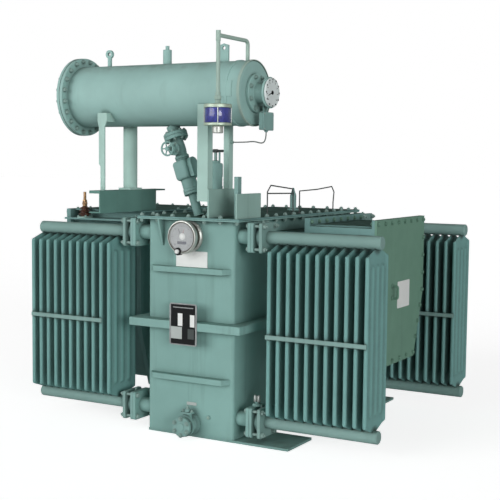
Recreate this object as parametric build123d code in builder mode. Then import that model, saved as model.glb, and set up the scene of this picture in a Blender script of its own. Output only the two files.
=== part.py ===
from build123d import *
import math
import os

os.makedirs("parts", exist_ok=True)

# Tank and cover
tank_width = 504
tank_length = 1340
wall_height = 1075
base_thk = 12
flange_thk = 7
cover_thk = 8
overhang = 45
tank_corner = 14
breather_reach = 231
band_depth = 72
front = (breather_reach - tank_length - band_depth) / 2
rear = front + tank_length
middle = (front + rear) / 2
side = tank_width / 2
floor = base_thk
rim = floor + wall_height
flange_top = rim + flange_thk
top = flange_top + cover_thk

# Walls
base_length = 260
base_right = side + 303
base_left = -side
rib_half = side - 20
rib_depth = 40
rib_height = 27
rib_bevel = 30
rib_levels = (floor + 272, floor + 815)
band_low = floor + 536
band_high = floor + 576
gusset_thk = 10
gusset_x = 82 - side
gusset_low = floor + 944
plate_width = 160
plate_height = 208
plate_thk = 3
plate_low = floor + 460
dial_radius = 82
dial_depth = 78
dial_x = -7
dial_z = floor + 994
drain_x = 10
drain_z = floor + 56
drain_reach = 100

# Radiators
fin_count = 11
fin_pitch = 50
fin_first = side + 217
fin_depth = 236
fin_web = 4
fin_thk = 13
flute_pitch = 56.5
flute_flat = 16
flute_low = floor + 161
flute_high = floor + 943
header_low = floor + 102
header_high = floor + 1002
header_radius = 31.5
header_start = side + 139
header_end = header_start + 604
header_ahead = 61
header_behind = tank_length - 94.5
stub_radius = 38
stub_length = 76
valve_flange = 145
valve_flange_thk = 16
valve_disc_radius = 55
brace_height = 20
brace_thk = 5
brace_low = floor + 530
gap = 0.3

# Cable boxes
box_first = side + 206
hv_cover_face = box_first + 390
hv_span = (front + 338, rear - 355)
lv_cover_face = box_first + 502
lv_span = (front + 220, rear - 255)
box_lip = 40
box_cover_thk = 12
box_flange_thk = 15
joint_thk = 28
hv_shoulder = floor + 690
hv_bottom = floor + 350
lv_shoulder = floor + 480
lv_bottom = floor + 140
hv_top = floor + 1088
lv_top = floor + 1040
lv_ledge_thk = 10
lv_roof_low = floor + 1088
lv_roof_thk = 8
lv_cover_top = lv_roof_low + lv_roof_thk

# Conservator
shell_radius = 157.5
shell_y = front + 110
shell_z = floor + 1697
shell_left = -735
shell_right = 295
shell_flange_radius = 203
shell_flange_thk = 18
neck_radius = 50
neck_end = 380
gauge_radius = 75
gauge_thk = 12
leg_left = 62
leg_width = 60
rear_leg_width = 32
leg_wall = 7
front_leg = (front - 45, front)
rear_leg = (front + 205, front + 243)


def place(x, y, z):
    """A flat work plane facing up, centred on one point."""
    return Plane(origin=(x, y, z))


# The welded tank is a closed housing with a flat rim
with BuildPart() as tank_body:
    with BuildSketch(Plane.XY.offset(floor)):
        with Locations((0, middle)):
            RectangleRounded(tank_width, tank_length, tank_corner)
    extrude(amount=wall_height)
    with BuildSketch(Plane.XY.offset(rim)):
        with Locations((0, middle)):
            RectangleRounded(tank_width + 2 * overhang, tank_length + 2 * overhang, 8)
    extrude(amount=flange_thk)
tank_body.part.label = "tank_body"
export_step(tank_body.part, "parts/tank_body.step")

with BuildPart() as tank_cover:
    with BuildSketch(Plane.XY.offset(flange_top)):
        with Locations((0, middle)):
            RectangleRounded(tank_width + 2 * overhang, tank_length + 2 * overhang, 8)
    extrude(amount=cover_thk)
    chamfer(tank_cover.faces().sort_by(Axis.Z)[-1].edges(), 2)
tank_cover.part.label = "tank_cover"
export_step(tank_cover.part, "parts/tank_cover.step")

# Flat bearers under both ends of the tank
base_middles = (front + base_length / 2, rear - base_length / 2)
with BuildPart() as base_plates:
    with BuildSketch(Plane.XY):
        with Locations(*[((base_left + base_right) / 2, y) for y in base_middles]):
            RectangleRounded(base_right - base_left, base_length, 6)
    extrude(amount=base_thk)
base_plates.part.label = "base_plates"
export_step(base_plates.part, "parts/base_plates.step")

# Closed bar stiffeners with bevelled ends, and two gussets under the rim at opposite corners
with BuildPart() as wall_stiffeners:
    for low in rib_levels:
        for wall, out in ((front, -1), (rear, 1)):
            with BuildSketch(Plane.XY.offset(low)):
                with BuildLine():
                    Polyline(
                        (-rib_half, wall),
                        (rib_half, wall),
                        (rib_half - rib_bevel, wall + out * rib_depth),
                        (rib_bevel - rib_half, wall + out * rib_depth),
                        close=True,
                    )
                make_face()
            extrude(amount=rib_height)
    for x, wall, out in ((gusset_x, front, -1), (-gusset_x - gusset_thk, rear, 1)):
        with BuildSketch(Plane.YZ.offset(x)):
            with BuildLine():
                Polyline(
                    (wall, gusset_low),
                    (wall, rim),
                    (wall + out * overhang, rim),
                    (wall + out * overhang, rim - 12),
                    (wall + out * 6, gusset_low),
                    close=True,
                )
            make_face()
        extrude(amount=gusset_thk)
wall_stiffeners.part.label = "wall_stiffeners"
export_step(wall_stiffeners.part, "parts/wall_stiffeners.step")

# A flat bar runs round the tank at half height
with BuildPart() as mid_band:
    with BuildSketch(Plane.XY.offset(band_low)):
        with Locations((0, middle)):
            RectangleRounded(tank_width + 2 * band_depth, tank_length + 2 * band_depth, 4)
            RectangleRounded(tank_width, tank_length, tank_corner - 2, mode=Mode.SUBTRACT)
    extrude(amount=band_high - band_low)
mid_band.part.label = "mid_band"
export_step(mid_band.part, "parts/mid_band.step")

with BuildPart() as rating_plate:
    with BuildSketch(Plane.XZ.offset(band_depth - front)):
        with Locations((4, plate_low + plate_height / 2)):
            RectangleRounded(plate_width, plate_height, 5)
    extrude(amount=plate_thk)
rating_plate.part.label = "rating_plate"
export_step(rating_plate.part, "parts/rating_plate.step")

# The dial is a drum with a foot ring, a waist and a bezel
with BuildPart() as dial_case:
    with BuildSketch(Plane.YZ.offset(dial_x)):
        with BuildLine():
            Polyline(
                (front, dial_z),
                (front, dial_z + dial_radius - 4),
                (front - 16, dial_z + dial_radius - 4),
                (front - 20, dial_z + dial_radius - 8),
                (front - 20, dial_z + dial_radius - 12),
                (front - 50, dial_z + dial_radius - 12),
                (front - 54, dial_z + dial_radius),
                (front - dial_depth + 3, dial_z + dial_radius),
                (front - dial_depth, dial_z + dial_radius - 4),
                (front - dial_depth, dial_z + dial_radius - 12),
                (front - dial_depth + 6, dial_z + dial_radius - 13),
                (front - dial_depth + 6, dial_z),
                close=True,
            )
        make_face()
    revolve(axis=Axis((dial_x, front, dial_z), (0, 1, 0)))
dial_case.part.label = "dial_case"
export_step(dial_case.part, "parts/dial_case.step")

with BuildPart() as dial_glass:
    with BuildSketch(Plane.XZ.offset(dial_depth - 6 - front)):
        with Locations((dial_x, dial_z)):
            Circle(dial_radius - 13.5)
    extrude(amount=3)
dial_glass.part.label = "dial_glass"
export_step(dial_glass.part, "parts/dial_glass.step")

# Drain valve: wall flange, body, pair of end flanges and a bonnet
with BuildPart() as drain_valve:
    with BuildSketch(Plane.XZ.offset(-front)):
        with Locations((drain_x, drain_z)):
            Circle(54)
    extrude(amount=14)
    with BuildSketch(Plane.XZ.offset(-front)):
        with Locations((drain_x, drain_z)):
            Circle(34)
    extrude(amount=drain_reach - 30)
    with BuildSketch(Plane.XZ.offset(drain_reach - 36 - front)):
        with Locations((drain_x, drain_z)):
            Circle(54)
    extrude(amount=36)
    chamfer(drain_valve.faces().sort_by(Axis.Y)[0].edges(), 6)
    with BuildSketch(place(drain_x, front - 38, drain_z)):
        Circle(23)
    extrude(amount=72)
    with BuildSketch(place(drain_x, front - 38, drain_z + 58)):
        RectangleRounded(62, 44, 6)
    extrude(amount=8)
    with BuildSketch(place(drain_x, front - 38, drain_z + 72)):
        Circle(9)
    extrude(amount=24)
drain_valve.part.label = "drain_valve"
export_step(drain_valve.part, "parts/drain_valve.step")

# Fluted radiator panels: one pressed section, shallow gable ends, a saddle under each header
flutes = []
for index in range(5):
    crest = (index - 2) * flute_pitch
    flutes.append((fin_thk / 2, max(crest - flute_flat / 2, -fin_depth / 2)))
    flutes.append((fin_thk / 2, min(crest + flute_flat / 2, fin_depth / 2)))
    if index < 4:
        flutes.append((fin_web / 2, crest + flute_pitch / 2))
flute_section = flutes + [(-x, y) for x, y in reversed(flutes)]
saddle = header_radius + gap
saddle_drop = 24
saddle_half = math.sqrt(saddle**2 - saddle_drop**2)
half = fin_depth / 2
banks = {
    "front_right": (1, front + header_ahead),
    "front_left": (-1, front + header_ahead),
    "rear_right": (1, front + header_behind),
    "rear_left": (-1, front + header_behind),
}
for name, (sign, y_mid) in banks.items():
    with BuildPart() as fins:
        fin_xs = [sign * (fin_first + step * fin_pitch) for step in range(fin_count)]
        with BuildSketch(Plane.XY.offset(flute_low)):
            with Locations(*[(x, y_mid) for x in fin_xs]):
                Polygon(*flute_section)
        extrude(amount=flute_high - flute_low)
        for x in fin_xs:
            with BuildSketch(Plane.YZ.offset(x)):
                with BuildLine():
                    Polyline(
                        (y_mid - saddle_half, header_high - saddle_drop),
                        (y_mid - half, flute_high),
                        (y_mid - half, flute_low),
                        (y_mid - saddle_half, header_low + saddle_drop),
                    )
                    ThreePointArc(
                        (y_mid - saddle_half, header_low + saddle_drop),
                        (y_mid, header_low + saddle),
                        (y_mid + saddle_half, header_low + saddle_drop),
                    )
                    Polyline(
                        (y_mid + saddle_half, header_low + saddle_drop),
                        (y_mid + half, flute_low),
                        (y_mid + half, flute_high),
                        (y_mid + saddle_half, header_high - saddle_drop),
                    )
                    ThreePointArc(
                        (y_mid + saddle_half, header_high - saddle_drop),
                        (y_mid, header_high - saddle),
                        (y_mid - saddle_half, header_high - saddle_drop),
                    )
                make_face()
            extrude(amount=fin_web / 2, both=True)
    fins.part.label = f"{name}_fins"
    export_step(fins.part, f"parts/{name}_fins.step")

with BuildPart() as radiator_headers:
    for sign, y_mid in banks.values():
        for z in (header_low, header_high):
            with BuildSketch(Plane.YZ.offset(sign * header_start)):
                with Locations((y_mid, z)):
                    RectangleRounded(valve_flange, valve_flange, 10)
            extrude(amount=sign * valve_flange_thk)
            with BuildSketch(Plane.YZ.offset(sign * header_start)):
                with Locations((y_mid, z)):
                    Circle(header_radius)
            extrude(amount=sign * (header_end - header_start))
    for ends in (radiator_headers.faces().group_by(Axis.X)[0], radiator_headers.faces().group_by(Axis.X)[-1]):
        chamfer(ends.edges(), 4)
radiator_headers.part.label = "radiator_headers"
export_step(radiator_headers.part, "parts/radiator_headers.step")

# Pipe stubs on the tank wall and shut-off valves between their flanges
valve_start = side + stub_length + valve_flange_thk
with BuildPart() as tank_stubs:
    for sign, y_mid in banks.values():
        for z in (header_low, header_high):
            with BuildSketch(Plane.YZ.offset(sign * side)):
                with Locations((y_mid, z)):
                    Circle(stub_radius)
            extrude(amount=sign * stub_length)
            with BuildSketch(Plane.YZ.offset(sign * (side + stub_length))):
                with Locations((y_mid, z)):
                    RectangleRounded(valve_flange, valve_flange, 10)
            extrude(amount=sign * valve_flange_thk)
tank_stubs.part.label = "tank_stubs"
export_step(tank_stubs.part, "parts/tank_stubs.step")

with BuildPart() as radiator_valves:
    for sign, y_mid in banks.values():
        for z in (header_low, header_high):
            with BuildSketch(Plane.YZ.offset(sign * valve_start)):
                with Locations((y_mid, z)):
                    RectangleRounded(valve_flange, valve_flange, 10)
            extrude(amount=sign * valve_flange_thk)
            with BuildSketch(Plane.YZ.offset(sign * (valve_start + valve_flange_thk))):
                with Locations((y_mid, z)):
                    Circle(valve_disc_radius)
            extrude(amount=sign * (header_start - valve_start - valve_flange_thk))
radiator_valves.part.label = "radiator_valves"
export_step(radiator_valves.part, "parts/radiator_valves.step")

# Flat straps across the outer edges of the fins
brace_near = fin_first - 12
brace_far = fin_first + (fin_count - 1) * fin_pitch + 6
with BuildPart() as radiator_braces:
    for sign, y_mid in banks.values():
        edge = y_mid - half - brace_thk if y_mid < middle else y_mid + half
        start = brace_near + (fin_pitch if (sign, y_mid < middle) == (-1, True) else 0)
        with BuildSketch(Plane.XY.offset(brace_low)):
            with Locations((sign * (start + brace_far) / 2, edge + brace_thk / 2)):
                Rectangle(brace_far - start, brace_thk)
        extrude(amount=brace_height)
radiator_braces.part.label = "radiator_braces"
export_step(radiator_braces.part, "parts/radiator_braces.step")


def box_outline(span, height, inset, shoulder, bottom):
    """Corners of a cable box profile, seen along X, moved in by one inset."""
    first, last = span
    run = 0.36 * inset
    return [
        (first + inset, height),
        (last - inset, height),
        (last - inset, shoulder + run),
        (last - 118 - run, bottom + inset),
        (first + 115 + run, bottom + inset),
        (first + inset, shoulder + run),
    ]


# Pockets join the tank to the cable boxes on both sides
with BuildPart() as box_pockets:
    for start, span, margin in ((side, hv_span, 167), (-box_first, lv_span, 305)):
        with BuildSketch(Plane.YZ.offset(start)):
            with Locations(((span[0] + span[1]) / 2, floor + 820)):
                Rectangle(span[1] - span[0] - margin, 380)
        extrude(amount=box_first - side)
box_pockets.part.label = "box_pockets"
export_step(box_pockets.part, "parts/box_pockets.step")

# High-voltage side: cable box and bolted cover
hv_plate = hv_cover_face - box_cover_thk
with BuildPart() as hv_cable_box:
    for start, length, inset, height in (
        (box_first, joint_thk, 0, hv_top),
        (box_first, hv_plate - box_first, box_lip, hv_top - 33),
        (hv_plate - box_flange_thk, box_flange_thk, 0, hv_top),
    ):
        with BuildSketch(Plane.YZ.offset(start)):
            with BuildLine():
                Polyline(*box_outline(hv_span, height, inset, hv_shoulder, hv_bottom), close=True)
            make_face()
        extrude(amount=length)
    with BuildSketch(Plane.YZ.offset(box_first)):
        with Locations(((hv_span[0] + hv_span[1]) / 2, floor + 1031)):
            Rectangle(hv_span[1] - hv_span[0], 33)
    extrude(amount=hv_plate - box_first)
hv_cable_box.part.label = "hv_cable_box"
export_step(hv_cable_box.part, "parts/hv_cable_box.step")

with BuildPart() as hv_box_cover:
    with BuildSketch(Plane.YZ.offset(hv_plate)):
        with BuildLine():
            Polyline(*box_outline(hv_span, hv_top, 0, hv_shoulder, hv_bottom), close=True)
        make_face()
    extrude(amount=box_cover_thk)
hv_box_cover.part.label = "hv_box_cover"
export_step(hv_box_cover.part, "parts/hv_box_cover.step")

# Low-voltage side: box with a ledge, upper housing and cover
lv_plate = lv_cover_face - box_cover_thk
with BuildPart() as lv_cable_box:
    for start, length, inset, height in (
        (box_first, joint_thk, 0, lv_top),
        (box_first, lv_plate - box_first, box_lip, lv_top),
        (lv_plate - box_flange_thk, box_flange_thk, 0, lv_cover_top),
    ):
        with BuildSketch(Plane.YZ.offset(-start)):
            with BuildLine():
                Polyline(*box_outline(lv_span, height, inset, lv_shoulder, lv_bottom), close=True)
            make_face()
        extrude(amount=-length)
    with BuildSketch(Plane.XY.offset(lv_top)):
        with Locations((-(box_first + lv_plate) / 2, (lv_span[0] + lv_span[1]) / 2 - 17)):
            Rectangle(lv_plate - box_first, lv_span[1] - lv_span[0] + 36)
    extrude(amount=lv_ledge_thk)
lv_cable_box.part.label = "lv_cable_box"
export_step(lv_cable_box.part, "parts/lv_cable_box.step")

with BuildPart() as lv_upper_housing:
    with BuildSketch(Plane.XY.offset(lv_top + lv_ledge_thk)):
        with Locations((-(box_first + lv_plate) / 2, (lv_span[0] + lv_span[1]) / 2 + 15)):
            Rectangle(lv_plate - box_first - 50, lv_span[1] - lv_span[0] - 110)
    extrude(amount=lv_roof_low - lv_top - lv_ledge_thk)
    with BuildSketch(Plane.XY.offset(lv_roof_low)):
        with Locations((-(box_first + lv_plate - box_flange_thk) / 2, (lv_span[0] + lv_span[1]) / 2 + 5)):
            Rectangle(lv_plate - box_flange_thk - box_first, lv_span[1] - lv_span[0] - 60)
    extrude(amount=lv_roof_thk)
lv_upper_housing.part.label = "lv_upper_housing"
export_step(lv_upper_housing.part, "parts/lv_upper_housing.step")

with BuildPart() as lv_box_cover:
    with BuildSketch(Plane.YZ.offset(-lv_plate)):
        with BuildLine():
            Polyline(*box_outline(lv_span, lv_cover_top, 0, lv_shoulder, lv_bottom), close=True)
        make_face()
    extrude(amount=-box_cover_thk)
lv_box_cover.part.label = "lv_box_cover"
export_step(lv_box_cover.part, "parts/lv_box_cover.step")

# Neutral bushing on the ledge: ribbed porcelain and a copper stud
bushing_x = 122 - lv_cover_face
bushing_y = front + 225
ledge_top = lv_top + lv_ledge_thk
with BuildPart() as neutral_bushing:
    with BuildSketch(Plane.XZ.offset(-bushing_y)):
        with BuildLine():
            Polyline(
                (bushing_x, ledge_top),
                (bushing_x + 36, ledge_top),
                (bushing_x + 36, ledge_top + 9),
                (bushing_x + 22, ledge_top + 14),
                (bushing_x + 22, ledge_top + 22),
                (bushing_x + 29, ledge_top + 26),
                (bushing_x + 20, ledge_top + 34),
                (bushing_x + 20, ledge_top + 40),
                (bushing_x + 27, ledge_top + 44),
                (bushing_x + 17, ledge_top + 52),
                (bushing_x + 17, ledge_top + 64),
                (bushing_x, ledge_top + 64),
                close=True,
            )
        make_face()
    revolve(axis=Axis((bushing_x, bushing_y, 0), (0, 0, 1)))
neutral_bushing.part.label = "neutral_bushing"
export_step(neutral_bushing.part, "parts/neutral_bushing.step")

with BuildPart() as bushing_stud:
    with BuildSketch(place(bushing_x, bushing_y, ledge_top + 64)):
        Circle(13)
    extrude(amount=8)
    with BuildSketch(place(bushing_x, bushing_y, ledge_top + 72)):
        Circle(8)
    extrude(amount=69)
bushing_stud.part.label = "bushing_stud"
export_step(bushing_stud.part, "parts/bushing_stud.step")

# Conservator: rolled shell with one flanged end, blank cover, gauge neck
with BuildPart() as conservator_shell:
    with BuildSketch(Plane.XZ.offset(-shell_y)):
        with BuildLine():
            Polyline(
                (shell_left - shell_flange_thk, shell_z),
                (shell_left - shell_flange_thk, shell_z + shell_flange_radius),
                (shell_left, shell_z + shell_flange_radius),
                (shell_left, shell_z + shell_radius),
                (209, shell_z + shell_radius),
                (211, shell_z + shell_radius + 4),
                (223, shell_z + shell_radius + 4),
                (225, shell_z + shell_radius),
                (shell_right - 14, shell_z + shell_radius),
                (shell_right - 4, shell_z + shell_radius - 4),
                (shell_right, shell_z + shell_radius - 14),
                (shell_right, shell_z),
                close=True,
            )
        make_face()
    revolve(axis=Axis((0, shell_y, shell_z), (1, 0, 0)))
conservator_shell.part.label = "conservator_shell"
export_step(conservator_shell.part, "parts/conservator_shell.step")

with BuildPart() as conservator_end_cover:
    with BuildSketch(Plane.YZ.offset(shell_left - shell_flange_thk)):
        with Locations((shell_y, shell_z)):
            Circle(shell_flange_radius)
    extrude(amount=-17)
conservator_end_cover.part.label = "conservator_end_cover"
export_step(conservator_end_cover.part, "parts/conservator_end_cover.step")

with BuildPart() as gauge_neck:
    for start, radius, length in (
        (shell_right, 95, 16),
        (shell_right, neck_radius, neck_end - shell_right),
        (neck_end - 10, gauge_radius, 10),
    ):
        with BuildSketch(Plane.YZ.offset(start)):
            with Locations((shell_y, shell_z)):
                Circle(radius)
        extrude(amount=length)
gauge_neck.part.label = "gauge_neck"
export_step(gauge_neck.part, "parts/gauge_neck.step")

with BuildPart() as level_gauge:
    with BuildSketch(Plane.YZ.offset(neck_end)):
        with Locations((shell_y, shell_z)):
            Circle(gauge_radius - 5)
    extrude(amount=gauge_thk)
    with BuildSketch(Plane.YZ.offset(neck_end + gauge_thk - 3)):
        with Locations((shell_y, shell_z)):
            Circle(gauge_radius - 10)
    extrude(amount=3, mode=Mode.SUBTRACT)
level_gauge.part.label = "level_gauge"
export_step(level_gauge.part, "parts/level_gauge.step")

# The gauge's small junction box hangs from the neck on a strap
junction_x = 357
junction_z = floor + 1560
with BuildPart() as gauge_junction_box:
    with BuildSketch(place(junction_x, shell_y, junction_z - 44)):
        RectangleRounded(28, 100, 4)
    extrude(amount=88)
    with BuildSketch(place(junction_x - 2, shell_y, junction_z + 44)):
        Rectangle(10, 46)
    extrude(amount=60)
    with BuildSketch(Plane.YZ.offset(shell_right)):
        with Locations((shell_y, shell_z)):
            Circle(neck_radius + gap)
    extrude(amount=80, mode=Mode.SUBTRACT)
    with BuildSketch(place(junction_x, shell_y, junction_z - 52)):
        Circle(8)
    extrude(amount=8)
gauge_junction_box.part.label = "gauge_junction_box"
export_step(gauge_junction_box.part, "parts/gauge_junction_box.step")

# Legs of the right-hand support, cut to the shell's curve
rear_leg_face = leg_left + rear_leg_width
boss_length = 10
with BuildPart() as support_legs:
    with BuildSketch(Plane.XY.offset(floor + 1170)):
        with Locations((leg_left + leg_width / 2, (front_leg[0] + front_leg[1]) / 2)):
            Rectangle(leg_width, front_leg[1] - front_leg[0])
        with Locations((leg_left + leg_width / 2, front_leg[0] + leg_wall + 25)):
            Rectangle(leg_width - 2 * leg_wall, 50, mode=Mode.SUBTRACT)
    extrude(amount=470)
    with BuildSketch(Plane.XY.offset(top)):
        with Locations((leg_left + rear_leg_width / 2, (rear_leg[0] + rear_leg[1]) / 2)):
            Rectangle(rear_leg_width, rear_leg[1] - rear_leg[0])
        with Locations((leg_left + rear_leg_width / 2, rear_leg[1] - leg_wall - 25)):
            Rectangle(rear_leg_width - 2 * leg_wall, 50, mode=Mode.SUBTRACT)
    extrude(amount=shell_z - 57 - top)
    with BuildSketch(Plane.YZ.offset(leg_left - 5)):
        with Locations((shell_y, shell_z)):
            Circle(shell_radius + gap)
    extrude(amount=leg_width + 10, mode=Mode.SUBTRACT)
    with BuildSketch(Plane.YZ.offset(rear_leg_face)):
        with Locations((front + 226, floor + 1462)):
            Circle(8)
    extrude(amount=boss_length)
support_legs.part.label = "support_legs"
export_step(support_legs.part, "parts/support_legs.step")

# Upright plates on the cover brace the legs
brace_face = leg_left + leg_width
with BuildPart() as brace_plates:
    with BuildSketch(Plane.YZ.offset(brace_face)):
        with BuildLine():
            Polyline(
                (front_leg[0], top),
                (front + 206, top),
                (front + 206, floor + 1222),
                (front + 196, floor + 1230),
                (front_leg[0], floor + 1230),
                close=True,
            )
        make_face()
    extrude(amount=8)
    with BuildSketch(Plane.YZ.offset(side + 28)):
        with Locations((front + 72, (top + floor + 1211) / 2)):
            Rectangle(235, floor + 1211 - top)
    extrude(amount=8)
brace_plates.part.label = "brace_plates"
export_step(brace_plates.part, "parts/brace_plates.step")

# Left-hand support: beam on the box roof, flat post with a cradle, pipe post
beam_right = -(box_first + 20)
beam_left = beam_right - 70
beam_middle = (beam_left + beam_right) / 2
beam_low = lv_cover_top
beam_high = floor + 1203
with BuildPart() as left_beam:
    with BuildSketch(Plane.XZ.offset(108 - front)):
        with Locations((beam_middle, (beam_low + beam_high) / 2)):
            Rectangle(beam_right - beam_left, beam_high - beam_low)
        with Locations((beam_left + 28, (beam_low + beam_high) / 2)):
            Rectangle(70, beam_high - beam_low - 14, mode=Mode.SUBTRACT)
    extrude(amount=-498)
    with BuildSketch(place(beam_middle, front + 185, beam_high)):
        Rectangle(beam_right - beam_left, 584)
    extrude(amount=8)
left_beam.part.label = "left_beam"
export_step(left_beam.part, "parts/left_beam.step")

cap_top = beam_high + 8
post_top = floor + 1605
with BuildPart() as left_posts:
    with BuildSketch(Plane.XZ.offset(45 - front)):
        with BuildLine():
            Polyline(
                (beam_middle - 5, cap_top),
                (beam_middle + 21, cap_top),
                (beam_middle + 21, post_top - 70),
                (beam_middle + 35, post_top - 40),
                (beam_middle + 35, post_top),
                (beam_middle - 23, post_top),
                (beam_middle - 23, post_top - 40),
                (beam_middle - 15, post_top - 70),
                (beam_middle - 15, floor + 1345),
                (beam_middle - 5, floor + 1335),
                close=True,
            )
        make_face()
    extrude(amount=8)
    with BuildSketch(place(beam_middle + 6, front - 15, post_top - 45)):
        Rectangle(58, 60)
    extrude(amount=45)
    with BuildSketch(place(beam_middle, front + 200, cap_top)):
        RectangleRounded(78, 110, 4)
    extrude(amount=10)
    with BuildSketch(place(beam_middle, front + 200, cap_top + 10)):
        Circle(37)
    extrude(amount=shell_z - 57 - cap_top - 10)
    with BuildSketch(Plane.YZ.offset(beam_middle - 50)):
        with Locations((shell_y, shell_z)):
            Circle(shell_radius + gap)
    extrude(amount=100, mode=Mode.SUBTRACT)
left_posts.part.label = "left_posts"
export_step(left_posts.part, "parts/left_posts.step")

# Sloping pipe from the conservator down to the cover, with valve and relay
line_low = (-58, floor + 1190)
line_high = (-184, floor + 1545)
line_run = math.hypot(line_high[0] - line_low[0], line_high[1] - line_low[1])


def on_line(distance):
    """A work plane square to the sloping pipe, one distance up from its low end."""
    part_way = distance / line_run
    x = line_low[0] + part_way * (line_high[0] - line_low[0])
    z = line_low[1] + part_way * (line_high[1] - line_low[1])
    tilt = (line_high[0] - line_low[0], 0, line_high[1] - line_low[1])
    return Plane(origin=(x, shell_y, z), x_dir=(0, 1, 0), z_dir=tilt)


with BuildPart() as gas_relay:
    with BuildSketch(on_line(24)):
        Circle(42)
    extrude(amount=66)
    with BuildSketch(on_line(90)):
        RectangleRounded(112, 78, 16)
    extrude(amount=96)
    with BuildSketch(on_line(90)):
        with Locations((0, -50)):
            RectangleRounded(70, 26, 6)
    extrude(amount=128)
    with BuildSketch(on_line(186)):
        Circle(34)
    extrude(amount=12)
gas_relay.part.label = "gas_relay"
export_step(gas_relay.part, "parts/gas_relay.step")

with BuildPart() as gate_valve:
    for start, length, radius in ((198, 16, 36), (198, 122, 30), (302, 18, 61)):
        with BuildSketch(on_line(start)):
            Circle(radius)
        extrude(amount=length)
    valve_centre = on_line(250).origin
    with BuildSketch(Plane.XZ.offset(-shell_y)):
        with Locations((valve_centre.X, valve_centre.Z)):
            Circle(26)
    extrude(amount=78)
    with BuildSketch(Plane.XZ.offset(78 - shell_y)):
        with Locations((valve_centre.X, valve_centre.Z)):
            Circle(7)
    extrude(amount=30)
gate_valve.part.label = "gate_valve"
export_step(gate_valve.part, "parts/gate_valve.step")

with BuildPart() as handwheels:
    with BuildSketch(Plane.XZ.offset(108 - shell_y)):
        with Locations((valve_centre.X, valve_centre.Z)):
            Circle(38)
            Circle(30, mode=Mode.SUBTRACT)
            Circle(10)
            with PolarLocations(0, 4):
                with Locations((20, 0)):
                    Rectangle(22, 8)
    extrude(amount=9)
    with BuildSketch(place(66, front + 120, floor + 1410)):
        Circle(12)
        Rectangle(80, 12)
        Rectangle(12, 80)
    extrude(amount=14)
handwheels.part.label = "handwheels"
export_step(handwheels.part, "parts/handwheels.step")

with BuildPart() as sloping_pipes:
    with BuildSketch(on_line(10)):
        Circle(24)
    extrude(amount=-130)
    with BuildSketch(on_line(10)):
        Circle(42)
    extrude(amount=14)
    with BuildSketch(place(0, shell_y, top - 200)):
        Rectangle(500, 300)
    extrude(amount=200, mode=Mode.SUBTRACT)
    with BuildSketch(on_line(320)):
        Circle(61)
    extrude(amount=16)
    with BuildSketch(on_line(320)):
        Circle(34)
    extrude(amount=110)
    with BuildSketch(Plane.YZ.offset(-320)):
        with Locations((shell_y, shell_z)):
            Circle(shell_radius + gap)
    extrude(amount=300, mode=Mode.SUBTRACT)
sloping_pipes.part.label = "sloping_pipes"
export_step(sloping_pipes.part, "parts/sloping_pipes.step")

# Fittings on top of the conservator
shell_top = shell_z + shell_radius
with BuildPart() as shell_fittings:
    with BuildSketch(Plane.XZ.offset(5 - shell_y)):
        with BuildLine():
            Polyline(
                (92, shell_top - 8),
                (144, shell_top - 8),
                (144, shell_top + 80),
                (118, shell_top + 88),
                (92, shell_top + 80),
                close=True,
            )
        make_face()
        with Locations((118, shell_top + 66)):
            Circle(9, mode=Mode.SUBTRACT)
    extrude(amount=-10)
    with BuildSketch(Plane.XZ.offset(7 - shell_y)):
        with Locations((-580, shell_top + 22)):
            Rectangle(18, 60)
        with Locations((-580, shell_top + 62)):
            Circle(22)
            Circle(9, mode=Mode.SUBTRACT)
    extrude(amount=-14)
    with BuildSketch(place(-218, shell_y, shell_top - 8)):
        Circle(22)
    extrude(amount=78)
    with BuildSketch(place(-218, shell_y, shell_top + 70)):
        Circle(10)
    extrude(amount=20)
    with BuildSketch(Plane.YZ.offset(-640)):
        with Locations((shell_y, shell_z)):
            Circle(shell_radius + gap)
    extrude(amount=820, mode=Mode.SUBTRACT)
shell_fittings.part.label = "shell_fittings"
export_step(shell_fittings.part, "parts/shell_fittings.step")

# Breather: bent pipe, flanged head, glass and cup
breather_x = 250
breather_radius = 66
breather_y = front - breather_reach + breather_radius
breather_top = floor + 1633
pipe_radius = 9.5
pipe_bend = 20
pipe_run = floor + 1948
with BuildPart() as breather_pipe:
    with BuildLine() as pipe_path:
        FilletPolyline(
            (breather_x, breather_y, breather_top),
            (breather_x, breather_y, pipe_run),
            (breather_x, shell_y, pipe_run),
            (breather_x, shell_y, shell_top - 10),
            radius=pipe_bend,
        )
    with BuildSketch(place(breather_x, breather_y, breather_top)):
        Circle(pipe_radius)
    sweep(path=pipe_path.wires()[0])
    with BuildSketch(place(breather_x, breather_y, pipe_run - pipe_bend - 6)):
        Circle(pipe_radius + 2)
    extrude(amount=pipe_bend + 28)
    with BuildSketch(Plane.YZ.offset(breather_x - 30)):
        with Locations((shell_y, shell_z)):
            Circle(shell_radius + gap)
    extrude(amount=60, mode=Mode.SUBTRACT)
breather_pipe.part.label = "breather_pipe"
export_step(breather_pipe.part, "parts/breather_pipe.step")

with BuildPart() as breather_ends:
    with BuildSketch(place(breather_x, breather_y, floor + 1613)):
        Circle(breather_radius)
    extrude(amount=20)
    chamfer(breather_ends.faces().sort_by(Axis.Z)[-1].edges(), 4)
    with BuildSketch(place(breather_x, breather_y, floor + 1531)):
        Circle(breather_radius)
    extrude(amount=14)
    with BuildSketch(place(breather_x, breather_y, floor + 1496)):
        Circle(26)
    extrude(amount=35)
breather_ends.part.label = "breather_ends"
export_step(breather_ends.part, "parts/breather_ends.step")

with BuildPart() as breather_glass:
    with BuildSketch(place(breather_x, breather_y, floor + 1545)):
        Circle(breather_radius - 6)
    extrude(amount=68)
breather_glass.part.label = "breather_glass"
export_step(breather_glass.part, "parts/breather_glass.step")

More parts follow.
